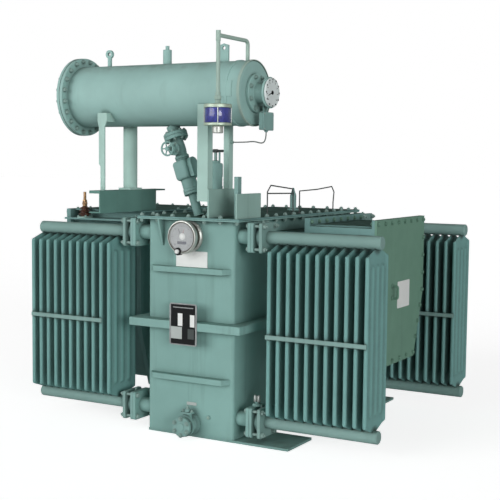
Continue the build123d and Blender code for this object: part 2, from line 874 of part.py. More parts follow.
# Cover valve with a cross handle, thermometer pocket and bent rails
with BuildPart() as cover_valve:
    for z, radius, height in (
        (top, 48, 14),
        (top + 14, 37, floor + 1356 - top - 14),
        (floor + 1356, 25, 12),
        (floor + 1368, 8, 42),
    ):
        with BuildSketch(place(66, front + 120, z)):
            Circle(radius)
        extrude(amount=height)
cover_valve.part.label = "cover_valve"
export_step(cover_valve.part, "parts/cover_valve.step")

thermometer_y = rear - 340
with BuildPart() as cover_posts:
    for z, radius, height in ((top, 34, 12), (top + 12, 18, 66)):
        with BuildSketch(place(50, thermometer_y, z)):
            Circle(radius)
        extrude(amount=height)
    with BuildSketch(place(50, thermometer_y, top + 78)):
        Circle(18)
    extrude(amount=34, taper=17)
    with BuildSketch(place(side - 5, front + 32, top)):
        RectangleRounded(22, 34, 4)
    extrude(amount=floor + 1292 - top)
cover_posts.part.label = "cover_posts"
export_step(cover_posts.part, "parts/cover_posts.step")

# Signal cable from the junction box to the rear leg
cable_radius = 3
cable_points = [
    (junction_x, shell_y, junction_z - 52),
    (junction_x, shell_y, junction_z - 83),
    (333, front + 121, junction_z - 108),
    (262, front + 162, junction_z - 94),
    (178, front + 226, floor + 1462),
    (rear_leg_face + boss_length, front + 226, floor + 1462),
]
corners = []
for before, here, after in zip(cable_points, cable_points[1:], cable_points[2:]):
    arriving = Vector(*here) - Vector(*before)
    leaving = Vector(*after) - Vector(*here)
    turn = math.radians(arriving.get_angle(leaving))
    corners.append(0.45 * min(arriving.length, leaving.length) / math.tan(turn / 2))
print("cable bend radii, mm:", [round(radius, 1) for radius in corners])
with BuildPart() as gauge_cable:
    with BuildLine() as cable_path:
        FilletPolyline(*cable_points, radius=corners)
    with BuildSketch(place(junction_x, shell_y, junction_z - 52)):
        Circle(cable_radius)
    sweep(path=cable_path.wires()[0])
gauge_cable.part.label = "gauge_cable"
export_step(gauge_cable.part, "parts/gauge_cable.step")
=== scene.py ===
"""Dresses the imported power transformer: paint, fittings, floor, light and camera."""

import logging
import math
from dataclasses import dataclass, field
from enum import Enum
from functools import cache

import bmesh
import bpy
from mathutils import Matrix, Vector


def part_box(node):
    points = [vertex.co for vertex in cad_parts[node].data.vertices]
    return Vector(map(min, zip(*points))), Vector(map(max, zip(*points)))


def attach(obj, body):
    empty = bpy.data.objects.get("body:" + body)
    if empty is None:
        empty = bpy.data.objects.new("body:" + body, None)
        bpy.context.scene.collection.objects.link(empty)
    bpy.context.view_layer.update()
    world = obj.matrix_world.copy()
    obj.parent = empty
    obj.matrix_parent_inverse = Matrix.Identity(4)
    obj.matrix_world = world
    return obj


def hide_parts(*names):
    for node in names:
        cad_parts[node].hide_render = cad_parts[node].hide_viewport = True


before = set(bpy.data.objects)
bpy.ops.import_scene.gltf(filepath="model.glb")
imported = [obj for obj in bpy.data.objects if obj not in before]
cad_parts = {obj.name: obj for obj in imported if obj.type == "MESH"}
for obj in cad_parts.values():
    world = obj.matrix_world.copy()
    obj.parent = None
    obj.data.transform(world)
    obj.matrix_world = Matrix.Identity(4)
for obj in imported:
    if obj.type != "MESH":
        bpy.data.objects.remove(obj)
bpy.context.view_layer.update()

LOG = logging.getLogger("transformer")
MM = 0.001
BASE_LOW, BASE_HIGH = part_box("base_plates")
ORIGIN = Vector((0.0, BASE_LOW.y, BASE_HIGH.z))
X_AXIS = Vector((1.0, 0.0, 0.0))
Y_AXIS = Vector((0.0, 1.0, 0.0))
Z_AXIS = Vector((0.0, 0.0, 1.0))

Colour = tuple[float, float, float]
Outline = list[tuple[float, float]]


def metres(point: Vector) -> Vector:
    """Turns a place in millimetres from the end wall's foot into the frame's metres."""
    return ORIGIN + Vector(point) * MM


def vector_field(x: float, y: float, z: float) -> Vector:
    """Gives a dataclass field that starts as a vector."""
    return field(default_factory=lambda: Vector((x, y, z)))


def node_box(node: str) -> tuple[Vector, Vector]:
    """Gives a node's lowest and highest corners in millimetres from the end wall's foot."""
    low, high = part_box(node)
    return (low - ORIGIN) / MM, (high - ORIGIN) / MM


def smooth_step(low: float, high: float, value: float) -> float:
    """Rises smoothly from 0 at low to 1 at high."""
    share = min(max((value - low) / (high - low), 0.0), 1.0)
    return share * share * (3.0 - 2.0 * share)


def turns(count: int, shift: float = 0.0) -> list[float]:
    """Gives angles evenly spaced round a full turn, the first a share of one step from zero."""
    return [math.tau * (step + shift) / count for step in range(count)]


def rectangle(left: float, low: float, right: float, high: float) -> Outline:
    """Gives a rectangle's corners, which also serve as the profile of a turned bar or ring."""
    return [(left, low), (right, low), (right, high), (left, high)]


def inset(outline: Outline, distance: float) -> Outline:
    """Moves each side of an outline inwards.

    Args:
        outline: corners of a convex outline, anticlockwise.
        distance: how far its sides move in.

    Returns:
        The corners of the smaller outline.
    """
    result = []
    count = len(outline)
    for index in range(count):
        before, here, after = (Vector(outline[(index + step) % count]) for step in (-1, 0, 1))
        first = (here - before).normalized()
        second = (after - here).normalized()
        bisector = Vector((-first.y - second.y, first.x + second.x))
        if bisector.length < 1e-6:
            bisector = Vector((-first.y, first.x))
        bisector.normalize()
        reach = distance / max(bisector.dot(Vector((-first.y, first.x))), 0.2)
        result.append(tuple(here + bisector * reach))
    return result


def spaced(outline: Outline, pitch: float) -> Outline:
    """Spreads points along a closed outline, with one at each corner.

    Args:
        outline: corners in order.
        pitch: wanted distance between points.

    Returns:
        The points' places.
    """
    result = []
    for index, corner in enumerate(outline):
        start = Vector(corner)
        end = Vector(outline[(index + 1) % len(outline)])
        steps = max(1, round((end - start).length / pitch))
        result += [tuple(start.lerp(end, step / steps)) for step in range(steps)]
    return result


# Shader maths


class Value:
    """A socket that carries a number, with arithmetic that adds Math nodes."""

    def __init__(self, graph: "Graph", socket: bpy.types.NodeSocket) -> None:
        """Keeps the socket and the graph that it belongs to."""
        self.graph = graph
        self.socket = socket

    def math(self, operation: str, first: "Value | float", second: "Value | float") -> "Value":
        """Adds one Math node.

        Args:
            operation: the node's operation.
            first: its first value.
            second: its second value.

        Returns:
            The node's result.
        """
        node = self.graph.add("ShaderNodeMath", {0: first, 1: second}, operation=operation)
        return Value(self.graph, node.outputs[0])

    def __add__(self, other: "Value | float") -> "Value":
        """Adds a value."""
        return self.math("ADD", self, other)

    __radd__ = __add__

    def __sub__(self, other: "Value | float") -> "Value":
        """Takes a value away."""
        return self.math("SUBTRACT", self, other)

    def __rsub__(self, other: float) -> "Value":
        """Takes this value away from a number."""
        return self.math("SUBTRACT", other, self)

    def __mul__(self, other: "Value | float") -> "Value":
        """Multiplies by a value."""
        return self.math("MULTIPLY", self, other)

    __rmul__ = __mul__

    def __abs__(self) -> "Value":
        """Drops the sign."""
        return self.math("ABSOLUTE", self, 0.0)

    def rise(self, low: float, high: float) -> "Value":
        """Rises smoothly.

        Args:
            low: where the result is still 0.
            high: where it reaches 1.

        Returns:
            A value from 0 to 1.
        """
        inputs = {"Value": self, "From Min": low, "From Max": high}
        node = self.graph.add("ShaderNodeMapRange", inputs, interpolation_type="SMOOTHSTEP")
        return Value(self.graph, node.outputs[0])


@dataclass(frozen=True)
class Pattern:
    """A cloudy pattern, cut to the range in which it shows.

    Attributes:
        scale: features in a metre.
        detail: how many finer patterns are added.
        low: the noise at which it is still 0.
        high: the noise at which it reaches 1.
        stretch: a further scale along each axis.
    """

    scale: float
    detail: float
    low: float
    high: float
    stretch: Colour | None = None


@dataclass(frozen=True)
class Relief:
    """The small unevenness of a surface.

    Attributes:
        scale: features in a metre.
        detail: how many finer ones are added.
        depth: the greatest height in metres.
        strength: how much of it shows.
    """

    scale: float
    detail: float
    depth: float
    strength: float = 0.10


BROAD = Pattern(1.6, 3.0, 0.30, 0.70)
PATCHES = Pattern(11.0, 4.0, 0.35, 0.72)
RUNS = Pattern(1.0, 4.0, 0.52, 0.74, stretch=(26.0, 26.0, 1.5))
DUST = Pattern(18.0, 5.0, 0.38, 0.70)
DULLING = Pattern(38.0, 4.0, 0.32, 0.70)
PRINT_WEAR = Pattern(24.0, 5.0, 0.35, 0.75)
THIN_GLAZE = Pattern(55.0, 3.0, 0.40, 0.72)
GRAIN_CLOUD = Pattern(30.0, 3.0, 0.35, 0.70)
HAZE = Pattern(60.0, 4.0, 0.30, 0.80)
CAST_SKIN = Relief(330.0, 3.0, 0.0012)
SHEET_WAVES = Relief(7.0, 1.0, 0.004)
PAINT_SKIN = Relief(950.0, 2.0, 0.0004)
METAL_GRAIN = Relief(620.0, 3.0, 0.0006)
PRINT_SKIN = Relief(420.0, 2.0, 0.0004, strength=0.06)
GLAZE_SKIN = Relief(120.0, 2.0, 0.0008, strength=0.08)


class Graph:
    """The node tree of one material, or of the surround."""

    def __init__(self, name: str, world: bool = False) -> None:
        """Starts the tree with its output and its shader.

        Args:
            name: name of the new material or world.
            world: whether it is a world.
        """
        self.owner = (bpy.data.worlds if world else bpy.data.materials).new(name)
        self.owner.use_nodes = True
        self.tree = self.owner.node_tree
        self.tree.nodes.clear()
        self.output = self.add("ShaderNodeOutputWorld" if world else "ShaderNodeOutputMaterial")
        self.shader = self.add("ShaderNodeBackground" if world else "ShaderNodeBsdfPrincipled")
        self.tree.links.new(self.shader.outputs[0], self.output.inputs[0])

    def add(self, kind: str, inputs: dict | None = None, **settings: object) -> bpy.types.Node:
        """Adds a node.

        Args:
            kind: the node's type.
            inputs: numbers, colours, values or sockets by input name or index.
            settings: the node's properties, which are set first.

        Returns:
            The new node.
        """
        node = self.tree.nodes.new(kind)
        for name, value in settings.items():
            setattr(node, name, value)
        for name, value in (inputs or {}).items():
            self.feed(node.inputs[name], value)
        return node

    def feed(self, socket: bpy.types.NodeSocket, value: object) -> None:
        """Links a value to a socket, or sets it there.

        Args:
            socket: the input.
            value: a value, a socket, a colour or a number.
        """
        if isinstance(value, Value):
            self.tree.links.new(value.socket, socket)
        elif isinstance(value, bpy.types.NodeSocket):
            self.tree.links.new(value, socket)
        elif isinstance(value, tuple) and socket.type == "RGBA":
            socket.default_value = (*value, 1.0)
        else:
            socket.default_value = value

    def noise(self, scale: float, detail: float = 2.0, stretch: Colour | None = None) -> Value:
        """Gives a cloudy pattern on the object.

        Args:
            scale: features in a metre.
            detail: how many finer patterns are added.
            stretch: a further scale along each axis.

        Returns:
            A value from about 0.25 to 0.75.
        """
        place = self.add("ShaderNodeTexCoord").outputs["Object"]
        if stretch:
            place = self.add("ShaderNodeVectorMath", {0: place, 1: stretch}, operation="MULTIPLY").outputs[0]
        inputs = {"Vector": place, "Scale": scale, "Detail": detail, "Roughness": 0.55}
        return Value(self, self.add("ShaderNodeTexNoise", inputs).outputs[0])

    def pattern(self, pattern: Pattern) -> Value:
        """Gives a pattern as a value from 0 to 1."""
        return self.noise(pattern.scale, pattern.detail, pattern.stretch).rise(pattern.low, pattern.high)

    def cells(self, scale: float) -> Value:
        """Gives the distance to the nearest of many scattered points."""
        inputs = {"Vector": self.add("ShaderNodeTexCoord").outputs["Object"], "Scale": scale}
        return Value(self, self.add("ShaderNodeTexVoronoi", inputs).outputs[0])

    def height(self, way: bpy.types.NodeSocket) -> Value:
        """Gives the upright share of a direction."""
        return Value(self, self.add("ShaderNodeSeparateXYZ", {0: way}).outputs[2])

    def upward(self) -> Value:
        """Gives how far the surface faces up."""
        return self.height(self.add("ShaderNodeNewGeometry").outputs["Normal"])

    def seen(self) -> Value:
        """Gives 1 to the camera and 0 to light that travels on."""
        return Value(self, self.add("ShaderNodeLightPath").outputs["Is Camera Ray"])

    def crevice(self, distance: float, low: float = 0.25, high: float = 0.85) -> Value:
        """Gives 1 in corners as tight as low and 0 on faces as open as high."""
        node = self.add("ShaderNodeAmbientOcclusion", {"Distance": distance}, samples=6)
        return 1.0 - Value(self, node.outputs["AO"]).rise(low, high)

    def blend(self, factor: Value | float, first: object, second: object) -> bpy.types.NodeSocket:
        """Mixes two colours by a factor."""
        return self.add("ShaderNodeMix", {0: factor, 6: first, 7: second}, data_type="RGBA").outputs[2]

    def bump(self, height: Value, strength: float, depth: float,
             normal: bpy.types.NodeSocket | None = None) -> bpy.types.NodeSocket:
        """Turns a height into a normal.

        Args:
            height: the pattern of heights.
            strength: how much of it shows.
            depth: the greatest height in metres.
            normal: another normal underneath, where there is one.

        Returns:
            The socket of the new normal.
        """
        inputs = {"Height": height, "Strength": strength, "Distance": depth}
        if normal is not None:
            inputs["Normal"] = normal
        return self.add("ShaderNodeBump", inputs).outputs[0]

    def relief(self, relief: Relief, normal: bpy.types.NodeSocket | None = None,
               strength: float = 0.0) -> bpy.types.NodeSocket:
        """Turns a relief into a normal.

        Args:
            relief: the relief.
            normal: another normal underneath, where there is one.
            strength: how much of it shows, where that isn't the relief's own.

        Returns:
            The socket of the new normal.
        """
        height = self.noise(relief.scale, relief.detail)
        return self.bump(height, strength or relief.strength, relief.depth, normal)

    def rounded(self, radius: float) -> bpy.types.NodeSocket:
        """Gives a normal that rounds off sharp edges."""
        return self.add("ShaderNodeBevel", {"Radius": radius}, samples=6).outputs[0]

    def finish(self, **sockets: object) -> bpy.types.ID:
        """Feeds the shader's sockets.

        Args:
            sockets: what each is given, named with underscores for spaces.

        Returns:
            The finished material or world.
        """
        for name, value in sockets.items():
            self.feed(self.shader.inputs[name.replace("_", " ")], value)
        return self.owner


def scaled(colour: Colour, factor: float) -> Colour:
    """Makes a colour lighter or darker."""
    return tuple(min(channel * factor, 1.0) for channel in colour)


# Finishes


@dataclass(frozen=True)
class Paint:
    """Satin paint on sheet steel or castings.

    Attributes:
        name: the material's name.
        colour: the paint's own colour.
        cast: strength of a casting's roughness, 0 on sheet.
        edge: radius of its rounded edges in metres, 0 where the piece has its own.
        streaks: how much the runs on upright faces show.
        grime_and_shade: colour of runs, and of the painted shade in corners and grooves.
        dust_and_shade: colour laid on level faces, real dust on most finishes and a dark painted shade on
            the cover.
        sheen: strength of its reflections.
        dust_and_shade_film: least share of that colour on level faces, where a large share paints shade.
        groove_shade: how much painted shade darkens its narrow grooves.
        patchy: how much its darker patches show.
        corner_shade: how much painted shade darkens its corners.
        settled: how much the patches of that colour add on level faces.
        rough: roughness of the clean paint.
        corner_shade_reach: how far the painted shade in a corner spreads, in metres.
        groove_reach: the width of a narrow groove, in metres.
    """

    name: str
    colour: Colour = (0.216, 0.388, 0.372)
    cast: float = 0.0
    edge: float = 0.0
    streaks: float = 0.22
    grime_and_shade: Colour = (0.060, 0.095, 0.085)
    dust_and_shade: Colour = (0.190, 0.245, 0.200)
    sheen: float = 0.16
    dust_and_shade_film: float = 0.10
    groove_shade: float = 0.0
    patchy: float = 0.30
    corner_shade: float = 0.62
    settled: float = 0.34
    rough: float = 0.60
    corner_shade_reach: float = 0.055
    groove_reach: float = 0.030

    def make(self) -> bpy.types.Material:
        """Builds the material.

        Returns:
            The new material.
        """
        graph = Graph(self.name)
        patches = graph.pattern(PATCHES)
        upward = graph.upward()
        wall = 1.0 - abs(upward).rise(0.25, 0.55)
        level = upward.rise(0.60, 0.95)
        # Mask of tight corners, where shade is painted in below.
        corner = graph.crevice(self.corner_shade_reach)
        colour = graph.blend(graph.pattern(BROAD), scaled(self.colour, 0.93), scaled(self.colour, 1.07))
        colour = graph.blend(patches * self.patchy, colour, scaled(self.colour, 0.86))
        runs = graph.pattern(RUNS) * wall
        colour = graph.blend(runs * self.streaks, colour, scaled(self.grime_and_shade, 1.9))
        # Painted shade: corners are darkened.
        colour = graph.blend(corner * self.corner_shade, colour, self.grime_and_shade)
        # Painted shade: narrow grooves, such as the fins' flutes, are darkened.
        if self.groove_shade:
            groove = graph.crevice(self.groove_reach, 0.78, 0.99)
            colour = graph.blend(groove * self.groove_shade, colour, self.grime_and_shade)
        # Level faces take the settled colour: dust on most finishes, painted shade on the cover's.
        settled = level * (self.dust_and_shade_film + graph.pattern(DUST) * self.settled)
        colour = graph.blend(settled, colour, self.dust_and_shade)
        rough = self.rough + patches * 0.10 + settled * 0.25 + corner * 0.10
        normal = graph.rounded(self.edge) if self.edge else None
        if self.cast:
            normal = graph.relief(CAST_SKIN, normal, self.cast)
        else:
            normal = graph.relief(SHEET_WAVES, normal)
        normal = graph.relief(PAINT_SKIN, normal)
        return graph.finish(Base_Color=colour, Roughness=rough, Normal=normal,
                            Specular_IOR_Level=self.sheen)


@dataclass(frozen=True)
class Metal:
    """Bare or plated metal, slightly dulled, with painted shade in its corners.

    Attributes:
        name: the material's name.
        colour: the metal's own colour.
        roughness: its roughness where it is clean.
        metallic: how much it reflects like metal.
        grain: strength of its fine grain.
        corner_shade_reach: how far the painted shade in a corner spreads, in metres.
    """

    name: str
    colour: Colour
    roughness: float = 0.36
    metallic: float = 0.9
    grain: float = 0.12
    corner_shade_reach: float = 0.012

    def make(self) -> bpy.types.Material:
        """Builds the material.

        Returns:
            The new material.
        """
        graph = Graph(self.name)
        patches = graph.pattern(DULLING)
        corner = graph.crevice(self.corner_shade_reach)
        colour = graph.blend(patches, scaled(self.colour, 0.86), scaled(self.colour, 1.08))
        # Painted shade: corners are darkened.
        colour = graph.blend(corner * 0.5, colour, scaled(self.colour, 0.25))
        rough = self.roughness + patches * 0.14 + corner * 0.15
        normal = graph.relief(METAL_GRAIN, strength=self.grain)
        return graph.finish(Base_Color=colour, Roughness=rough, Normal=normal, Metallic=self.metallic)


@dataclass(frozen=True)
class Printed:
    """A smooth printed, enamelled or moulded surface."""

    name: str
    colour: Colour
    roughness: float = 0.42
    wear: float = 0.10
    sheen: float = 0.4

    def make(self) -> bpy.types.Material:
        """Builds the material.

        Returns:
            The new material.
        """
        graph = Graph(self.name)
        cloud = graph.pattern(PRINT_WEAR)
        colour = graph.blend(cloud * self.wear * 3.0, self.colour, scaled(self.colour, 0.80))
        rough = self.roughness + cloud * 0.12
        return graph.finish(Base_Color=colour, Roughness=rough, Normal=graph.relief(PRINT_SKIN),
                            Specular_IOR_Level=self.sheen)


@dataclass(frozen=True)
class Porcelain:
    """Glazed brown porcelain, lighter where the glaze runs thin."""

    name: str
    colour: Colour = (0.095, 0.040, 0.026)
    thin_colour: Colour = (0.19, 0.085, 0.05)

    def make(self) -> bpy.types.Material:
        """Builds the material.

        Returns:
            The new material.
        """
        graph = Graph(self.name)
        thin = graph.pattern(THIN_GLAZE)
        colour = graph.blend(thin, self.colour, self.thin_colour)
        return graph.finish(Base_Color=colour, Roughness=0.16 + thin * 0.08,
                            Normal=graph.relief(GLAZE_SKIN), Coat_Weight=0.6)


@dataclass(frozen=True)
class DryingGrains:
    """Blue drying grains close behind a clear glass."""

    name: str
    colour: Colour = (0.045, 0.062, 0.40)
    pale_colour: Colour = (0.10, 0.10, 0.52)
    grains: float = 170.0

    def make(self) -> bpy.types.Material:
        """Builds the material.

        Returns:
            The new material.
        """
        graph = Graph(self.name)
        grain = graph.cells(self.grains).rise(0.05, 0.75)
        cloud = graph.pattern(GRAIN_CLOUD)
        colour = graph.blend(grain, scaled(self.colour, 1.25), scaled(self.colour, 0.45))
        colour = graph.blend(cloud * 0.25, colour, self.pale_colour)
        normal = graph.bump(1.0 - grain, 0.25, 0.0015)
        return graph.finish(Base_Color=colour, Roughness=0.30 + grain * 0.10, Normal=normal,
                            Coat_Weight=1.0, Coat_Roughness=0.04)


@dataclass(frozen=True)
class ClearPane:
    """A thin clear pane."""

    name: str
    colour: Colour = (0.90, 0.94, 0.94)

    def make(self) -> bpy.types.Material:
        """Builds the material.

        Returns:
            The new material.
        """
        graph = Graph(self.name)
        haze = graph.pattern(HAZE)
        return graph.finish(Base_Color=self.colour, Roughness=0.04 + haze * 0.06,
                            Alpha=0.10 + haze * 0.06, Coat_Weight=1.0)


class Finish(Enum):
    """The finishes that the pieces are given."""

    TANK = Paint("tank_paint", colour=(0.270, 0.472, 0.436), edge=0.0022)
    # Painted shade: a dark film on the level faces of the cover, the box pockets and the housings.
    COVER = Paint("cover_paint", edge=0.0022, dust_and_shade=(0.070, 0.108, 0.082), dust_and_shade_film=0.60, sheen=0.0)
    # Painted light: a lighter copy of the green paint for the brace plates.
    BRACE = Paint("brace_paint", colour=(0.370, 0.570, 0.515), edge=0.0018, streaks=0.12)
    BOX = Paint("box_paint", edge=0.0022, streaks=0.16)
    # Painted shade: a darker copy of the green paint for the beam.
    BEAM = Paint("beam_paint", colour=(0.145, 0.300, 0.262), edge=0.0022, streaks=0.16)
    # Painted light: a lighter copy of the green paint for the legs and posts.
    FRAME = Paint("frame_paint", colour=(0.470, 0.690, 0.625), edge=0.0018, streaks=0.12)
    LID = Paint("hv_lid_paint", colour=(0.190, 0.360, 0.270), edge=0.0022, streaks=0.16)
    # Painted light: a lighter copy of the green paint for the conservator.
    SHELL = Paint("conservator_paint", colour=(0.366, 0.590, 0.550), edge=0.0018, streaks=0.10,
                  sheen=0.36)
    # Painted shade darkens the grooves between the fins' flutes.
    RADIATOR = Paint("radiator_paint", colour=(0.208, 0.425, 0.402), streaks=0.10, groove_shade=0.96)
    HEADER = Paint("header_paint", colour=(0.255, 0.410, 0.380), streaks=0.05)
    PIPE = Paint("breather_pipe_paint", colour=(0.430, 0.580, 0.510), streaks=0.0)
    SMALL = Paint("bolt_paint", colour=(0.300, 0.440, 0.405), streaks=0.0)
    FITTING = Paint("fitting_paint", colour=(0.262, 0.445, 0.415), cast=0.30, streaks=0.05)
    SHEET_FITTING = Paint("fitting_sheet_paint", colour=(0.262, 0.445, 0.415), streaks=0.05)
    BOLT = Metal("plated_bolt", (0.50, 0.53, 0.51), roughness=0.34, metallic=0.75)
    DIAL = Metal("dial_metal", (0.62, 0.64, 0.60), roughness=0.34, metallic=0.60)
    PLATE = Metal("plate_metal", (0.34, 0.36, 0.36), roughness=0.36, metallic=0.60)
    CAST = Metal("breather_cast", (0.60, 0.72, 0.58), roughness=0.40, metallic=0.50, grain=0.20)
    STUD = Metal("stud_metal", (0.52, 0.32, 0.17), roughness=0.38)
    BLACK = Printed("printed_black", (0.010, 0.011, 0.012), roughness=0.50, sheen=0.15)
    DARK = Printed("printed_dark", (0.060, 0.075, 0.072), roughness=0.44)
    WHITE = Printed("printed_white", (0.90, 0.92, 0.90), roughness=0.46, wear=0.04)
    PALE = Printed("printed_pale", (0.50, 0.55, 0.53), roughness=0.46, wear=0.12)
    FACE = Printed("dial_face", (0.46, 0.48, 0.49), roughness=0.40, wear=0.16)
    # Painted shade: dark colour for the dial's bezel groove and recessed waist.
    BAND = Printed("dial_band", (0.075, 0.070, 0.055), roughness=0.50, wear=0.15)
    WINDOW = Printed("dial_window", (0.075, 0.078, 0.120), roughness=0.35, wear=0.10)
    GAUGE = Printed("gauge_white", (0.83, 0.91, 0.90), roughness=0.42, wear=0.08)
    GASKET = Printed("flange_gasket", (0.030, 0.036, 0.034), roughness=0.70)
    SHEATH = Printed("cable_sheath", (0.190, 0.215, 0.205), roughness=0.55)
    RED = Printed("pointer_red", (0.42, 0.03, 0.02), roughness=0.40)
    CERAMIC = Porcelain("porcelain")
    GRAINS = DryingGrains("blue_glass")
    PANE = ClearPane("clear_glass")

    @cache
    def material(self) -> bpy.types.Material:
        """Gives the finish's material, made the first time."""
        return self.value.make()


# Mesh making


class Form:
    """Gathers the points and faces of one piece, in millimetres from the end wall's foot."""

    def __init__(self) -> None:
        """Starts with nothing."""
        self.points: list[Vector] = []
        self.faces: list[tuple[int, ...]] = []

    def shell(self, rings: list[list[Vector]], looped: bool = False) -> "Form":
        """Joins rings of points into a closed skin.

        Args:
            rings: closed rings; a ring of one point ends the skin in a tip.
            looped: whether the last ring joins the first, and otherwise both are capped.

        Returns:
            The form itself.
        """
        starts = []
        for ring in rings:
            starts.append(len(self.points))
            self.points += [Vector(point) for point in ring]
        pairs = list(zip(range(len(rings) - 1), range(1, len(rings))))
        if looped:
            pairs.append((len(rings) - 1, 0))
        for here, there in pairs:
            self.band(starts[here], len(rings[here]), starts[there], len(rings[there]))
        for index in () if looped else (0, -1):
            size = len(rings[index])
            if size > 2:
                self.faces.append(tuple(range(starts[index], starts[index] + size)))
        return self

    def band(self, first: int, first_size: int, second: int, second_size: int) -> None:
        """Adds the faces between two rings, either of which may be one point.

        Args:
            first: index of the first ring's first point.
            first_size: how many points it has.
            second: index of the second ring's first point.
            second_size: how many points that has.
        """
        size = max(first_size, second_size)
        for step in range(size):
            after = (step + 1) % size
            if first_size == 1:
                self.faces.append((first, second + step, second + after))
            elif second_size == 1:
                self.faces.append((first + step, first + after, second))
            else:
                self.faces.append((first + step, first + after, second + after, second + step))

    def turned(self, foot: Vector, axis: Vector, profile: Outline, steps: int = 48,
               looped: bool = False, twist: float = 0.0) -> "Form":
        """Turns a profile round an axis.

        Args:
            foot: where the axis starts.
            axis: its direction.
            profile: pairs of radius and distance along the axis.
            steps: how many sides the turned form has.
            looped: whether the profile is closed, as for a ring.
            twist: turn of the first side, in degrees.

        Returns:
            The form itself.
        """
        foot, axis = Vector(foot), Vector(axis).normalized()
        side = axis.orthogonal().normalized()
        if abs(axis.z) < 0.9:
            side = axis.cross(Z_AXIS).normalized()
        other = axis.cross(side)
        rings = []
        for radius, along in profile:
            centre = foot + axis * along
            if radius < 1e-6:
                rings.append([centre])
                continue
            angles = [math.radians(twist) + a for a in turns(steps)]
            rings.append([centre + (side * math.cos(a) + other * math.sin(a)) * radius for a in angles])
        return self.shell(rings, looped=looped)

    def prism(self, outline: Outline, foot: Vector, across: Vector, up: Vector, depth: float) -> "Form":
        """Extrudes an outline.

        Args:
            outline: corners as distances along across and up.
            foot: the place of the outline's zero.
            across: the outline's first direction.
            up: its second direction.
            depth: length along across × up.

        Returns:
            The form itself.
        """
        foot, across, up = Vector(foot), Vector(across), Vector(up)
        out = across.cross(up).normalized() * depth
        ring = [foot + across * a + up * b for a, b in outline]
        return self.shell([ring, [point + out for point in ring]])

    def block(self, low: Vector, high: Vector) -> "Form":
        """Adds a box between two corners."""
        size = Vector(high) - Vector(low)
        return self.prism(rectangle(0, 0, size.x, size.y), low, X_AXIS, Y_AXIS, size.z)

    def bolt(self, place: Vector, axis: Vector, across: float = 24.0, head: float = 10.0,
             stud: float = 0.0, washer: float = 2.5) -> "Form":
        """Adds a hexagon head or nut with its washer and stud end.

        Args:
            place: where it sits.
            axis: which way it points.
            across: its width across flats.
            head: its height.
            stud: how far the stud end stands out.
            washer: the washer's thickness.

        Returns:
            The form itself.
        """
        corner = across / math.sqrt(3.0)
        place = Vector(place)
        twist = 60.0 * math.modf(abs(math.sin(place.x * 12.9 + place.y * 7.1 + place.z * 3.3)) * 43.7)[0]
        rim = across * 0.58
        self.turned(place, axis, [(0, 0), (rim + 2, 0), (rim + 2, washer - 0.5), (rim + 1, washer),
                                  (0, washer)], 18)
        top = washer + head
        hexagon = [(0, washer), (corner, washer), (corner, top - 1.6), (corner * 0.86, top), (0, top)]
        self.turned(place, axis, hexagon, 6, twist=twist)
        if stud:
            radius, tip = across * 0.30, top + stud
            self.turned(place, axis, [(0, top), (radius, top), (radius, tip - 1), (radius - 1, tip),
                                      (0, tip)], 12)
        return self

    def rod(self, places: list[Vector], radius: float, steps: int = 12) -> "Form":
        """Sweeps a round bar along a line of points.

        Args:
            places: the points.
            radius: the bar's radius.
            steps: how many sides it has.

        Returns:
            The form itself.
        """
        places = [Vector(place) for place in places]
        rings = []
        side = None
        for index, here in enumerate(places):
            before = places[max(index - 1, 0)]
            after = places[min(index + 1, len(places) - 1)]
            way = (after - before).normalized()
            side = way.orthogonal() if side is None else side - way * side.dot(way)
            side.normalize()
            other = way.cross(side)
            rings.append([here + (side * math.cos(a) + other * math.sin(a)) * radius
                          for a in turns(steps)])
        return self.shell(rings)

    def piece(self, name: str, finish: Finish, slot: str, replaced: tuple[str, ...] = (),
              soften: float = 0.0, angle: float = 34.0) -> bpy.types.Object:
        """Makes the piece, gives it its finish and lets it ride on the transformer.

        Args:
            name: the piece's name.
            finish: its finish.
            slot: not used.
            replaced: the CAD nodes that it stands for.
            soften: the radius of its edges in millimetres.
            angle: edges flatter than this many degrees are shaded smooth.

        Returns:
            The new object.
        """
        mesh = bpy.data.meshes.new(name)
        mesh.from_pydata([tuple(metres(point)) for point in self.points], [], self.faces)
        work = bmesh.new()
        work.from_mesh(mesh)
        bmesh.ops.remove_doubles(work, verts=work.verts, dist=1e-7)
        bmesh.ops.recalc_face_normals(work, faces=work.faces)
        work.to_mesh(mesh)
        work.free()
        mesh.shade_smooth()
        mesh.set_sharp_from_angle(angle=math.radians(angle))
        mesh.materials.append(finish.material())
        made = bpy.data.objects.new(name, mesh)
        bpy.context.scene.collection.objects.link(made)
        if soften:
            rounding = made.modifiers.new("rounded_edges", "BEVEL")
            rounding.width = soften * MM
            rounding.segments = 2
            rounding.limit_method = "ANGLE"
            rounding.angle_limit = math.radians(angle)
            rounding.harden_normals = True
        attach(made, "root")
        if replaced:
            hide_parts(*replaced)
        LOG.info("%s: %d faces, %s", name, len(mesh.polygons), finish.name.lower())
        return made


def rounded_outline(wide: float, high: float, radius: float, steps: int = 5) -> Outline:
    """Gives a rectangle with round corners about its centre.

    Args:
        wide: full width.
        high: full height.
        radius: corner radius.
        steps: sides of each corner's arc.

    Returns:
        The outline's points, anticlockwise.
    """
    result = []
    for index, (sign_x, sign_y) in enumerate(((1, 1), (-1, 1), (-1, -1), (1, -1))):
        for step in range(steps + 1):
            turn = math.radians(90.0 * (index + step / steps))
            result.append((sign_x * (wide / 2 - radius) + radius * math.cos(turn),
                           sign_y * (high / 2 - radius) + radius * math.sin(turn)))
    return result


# View and light


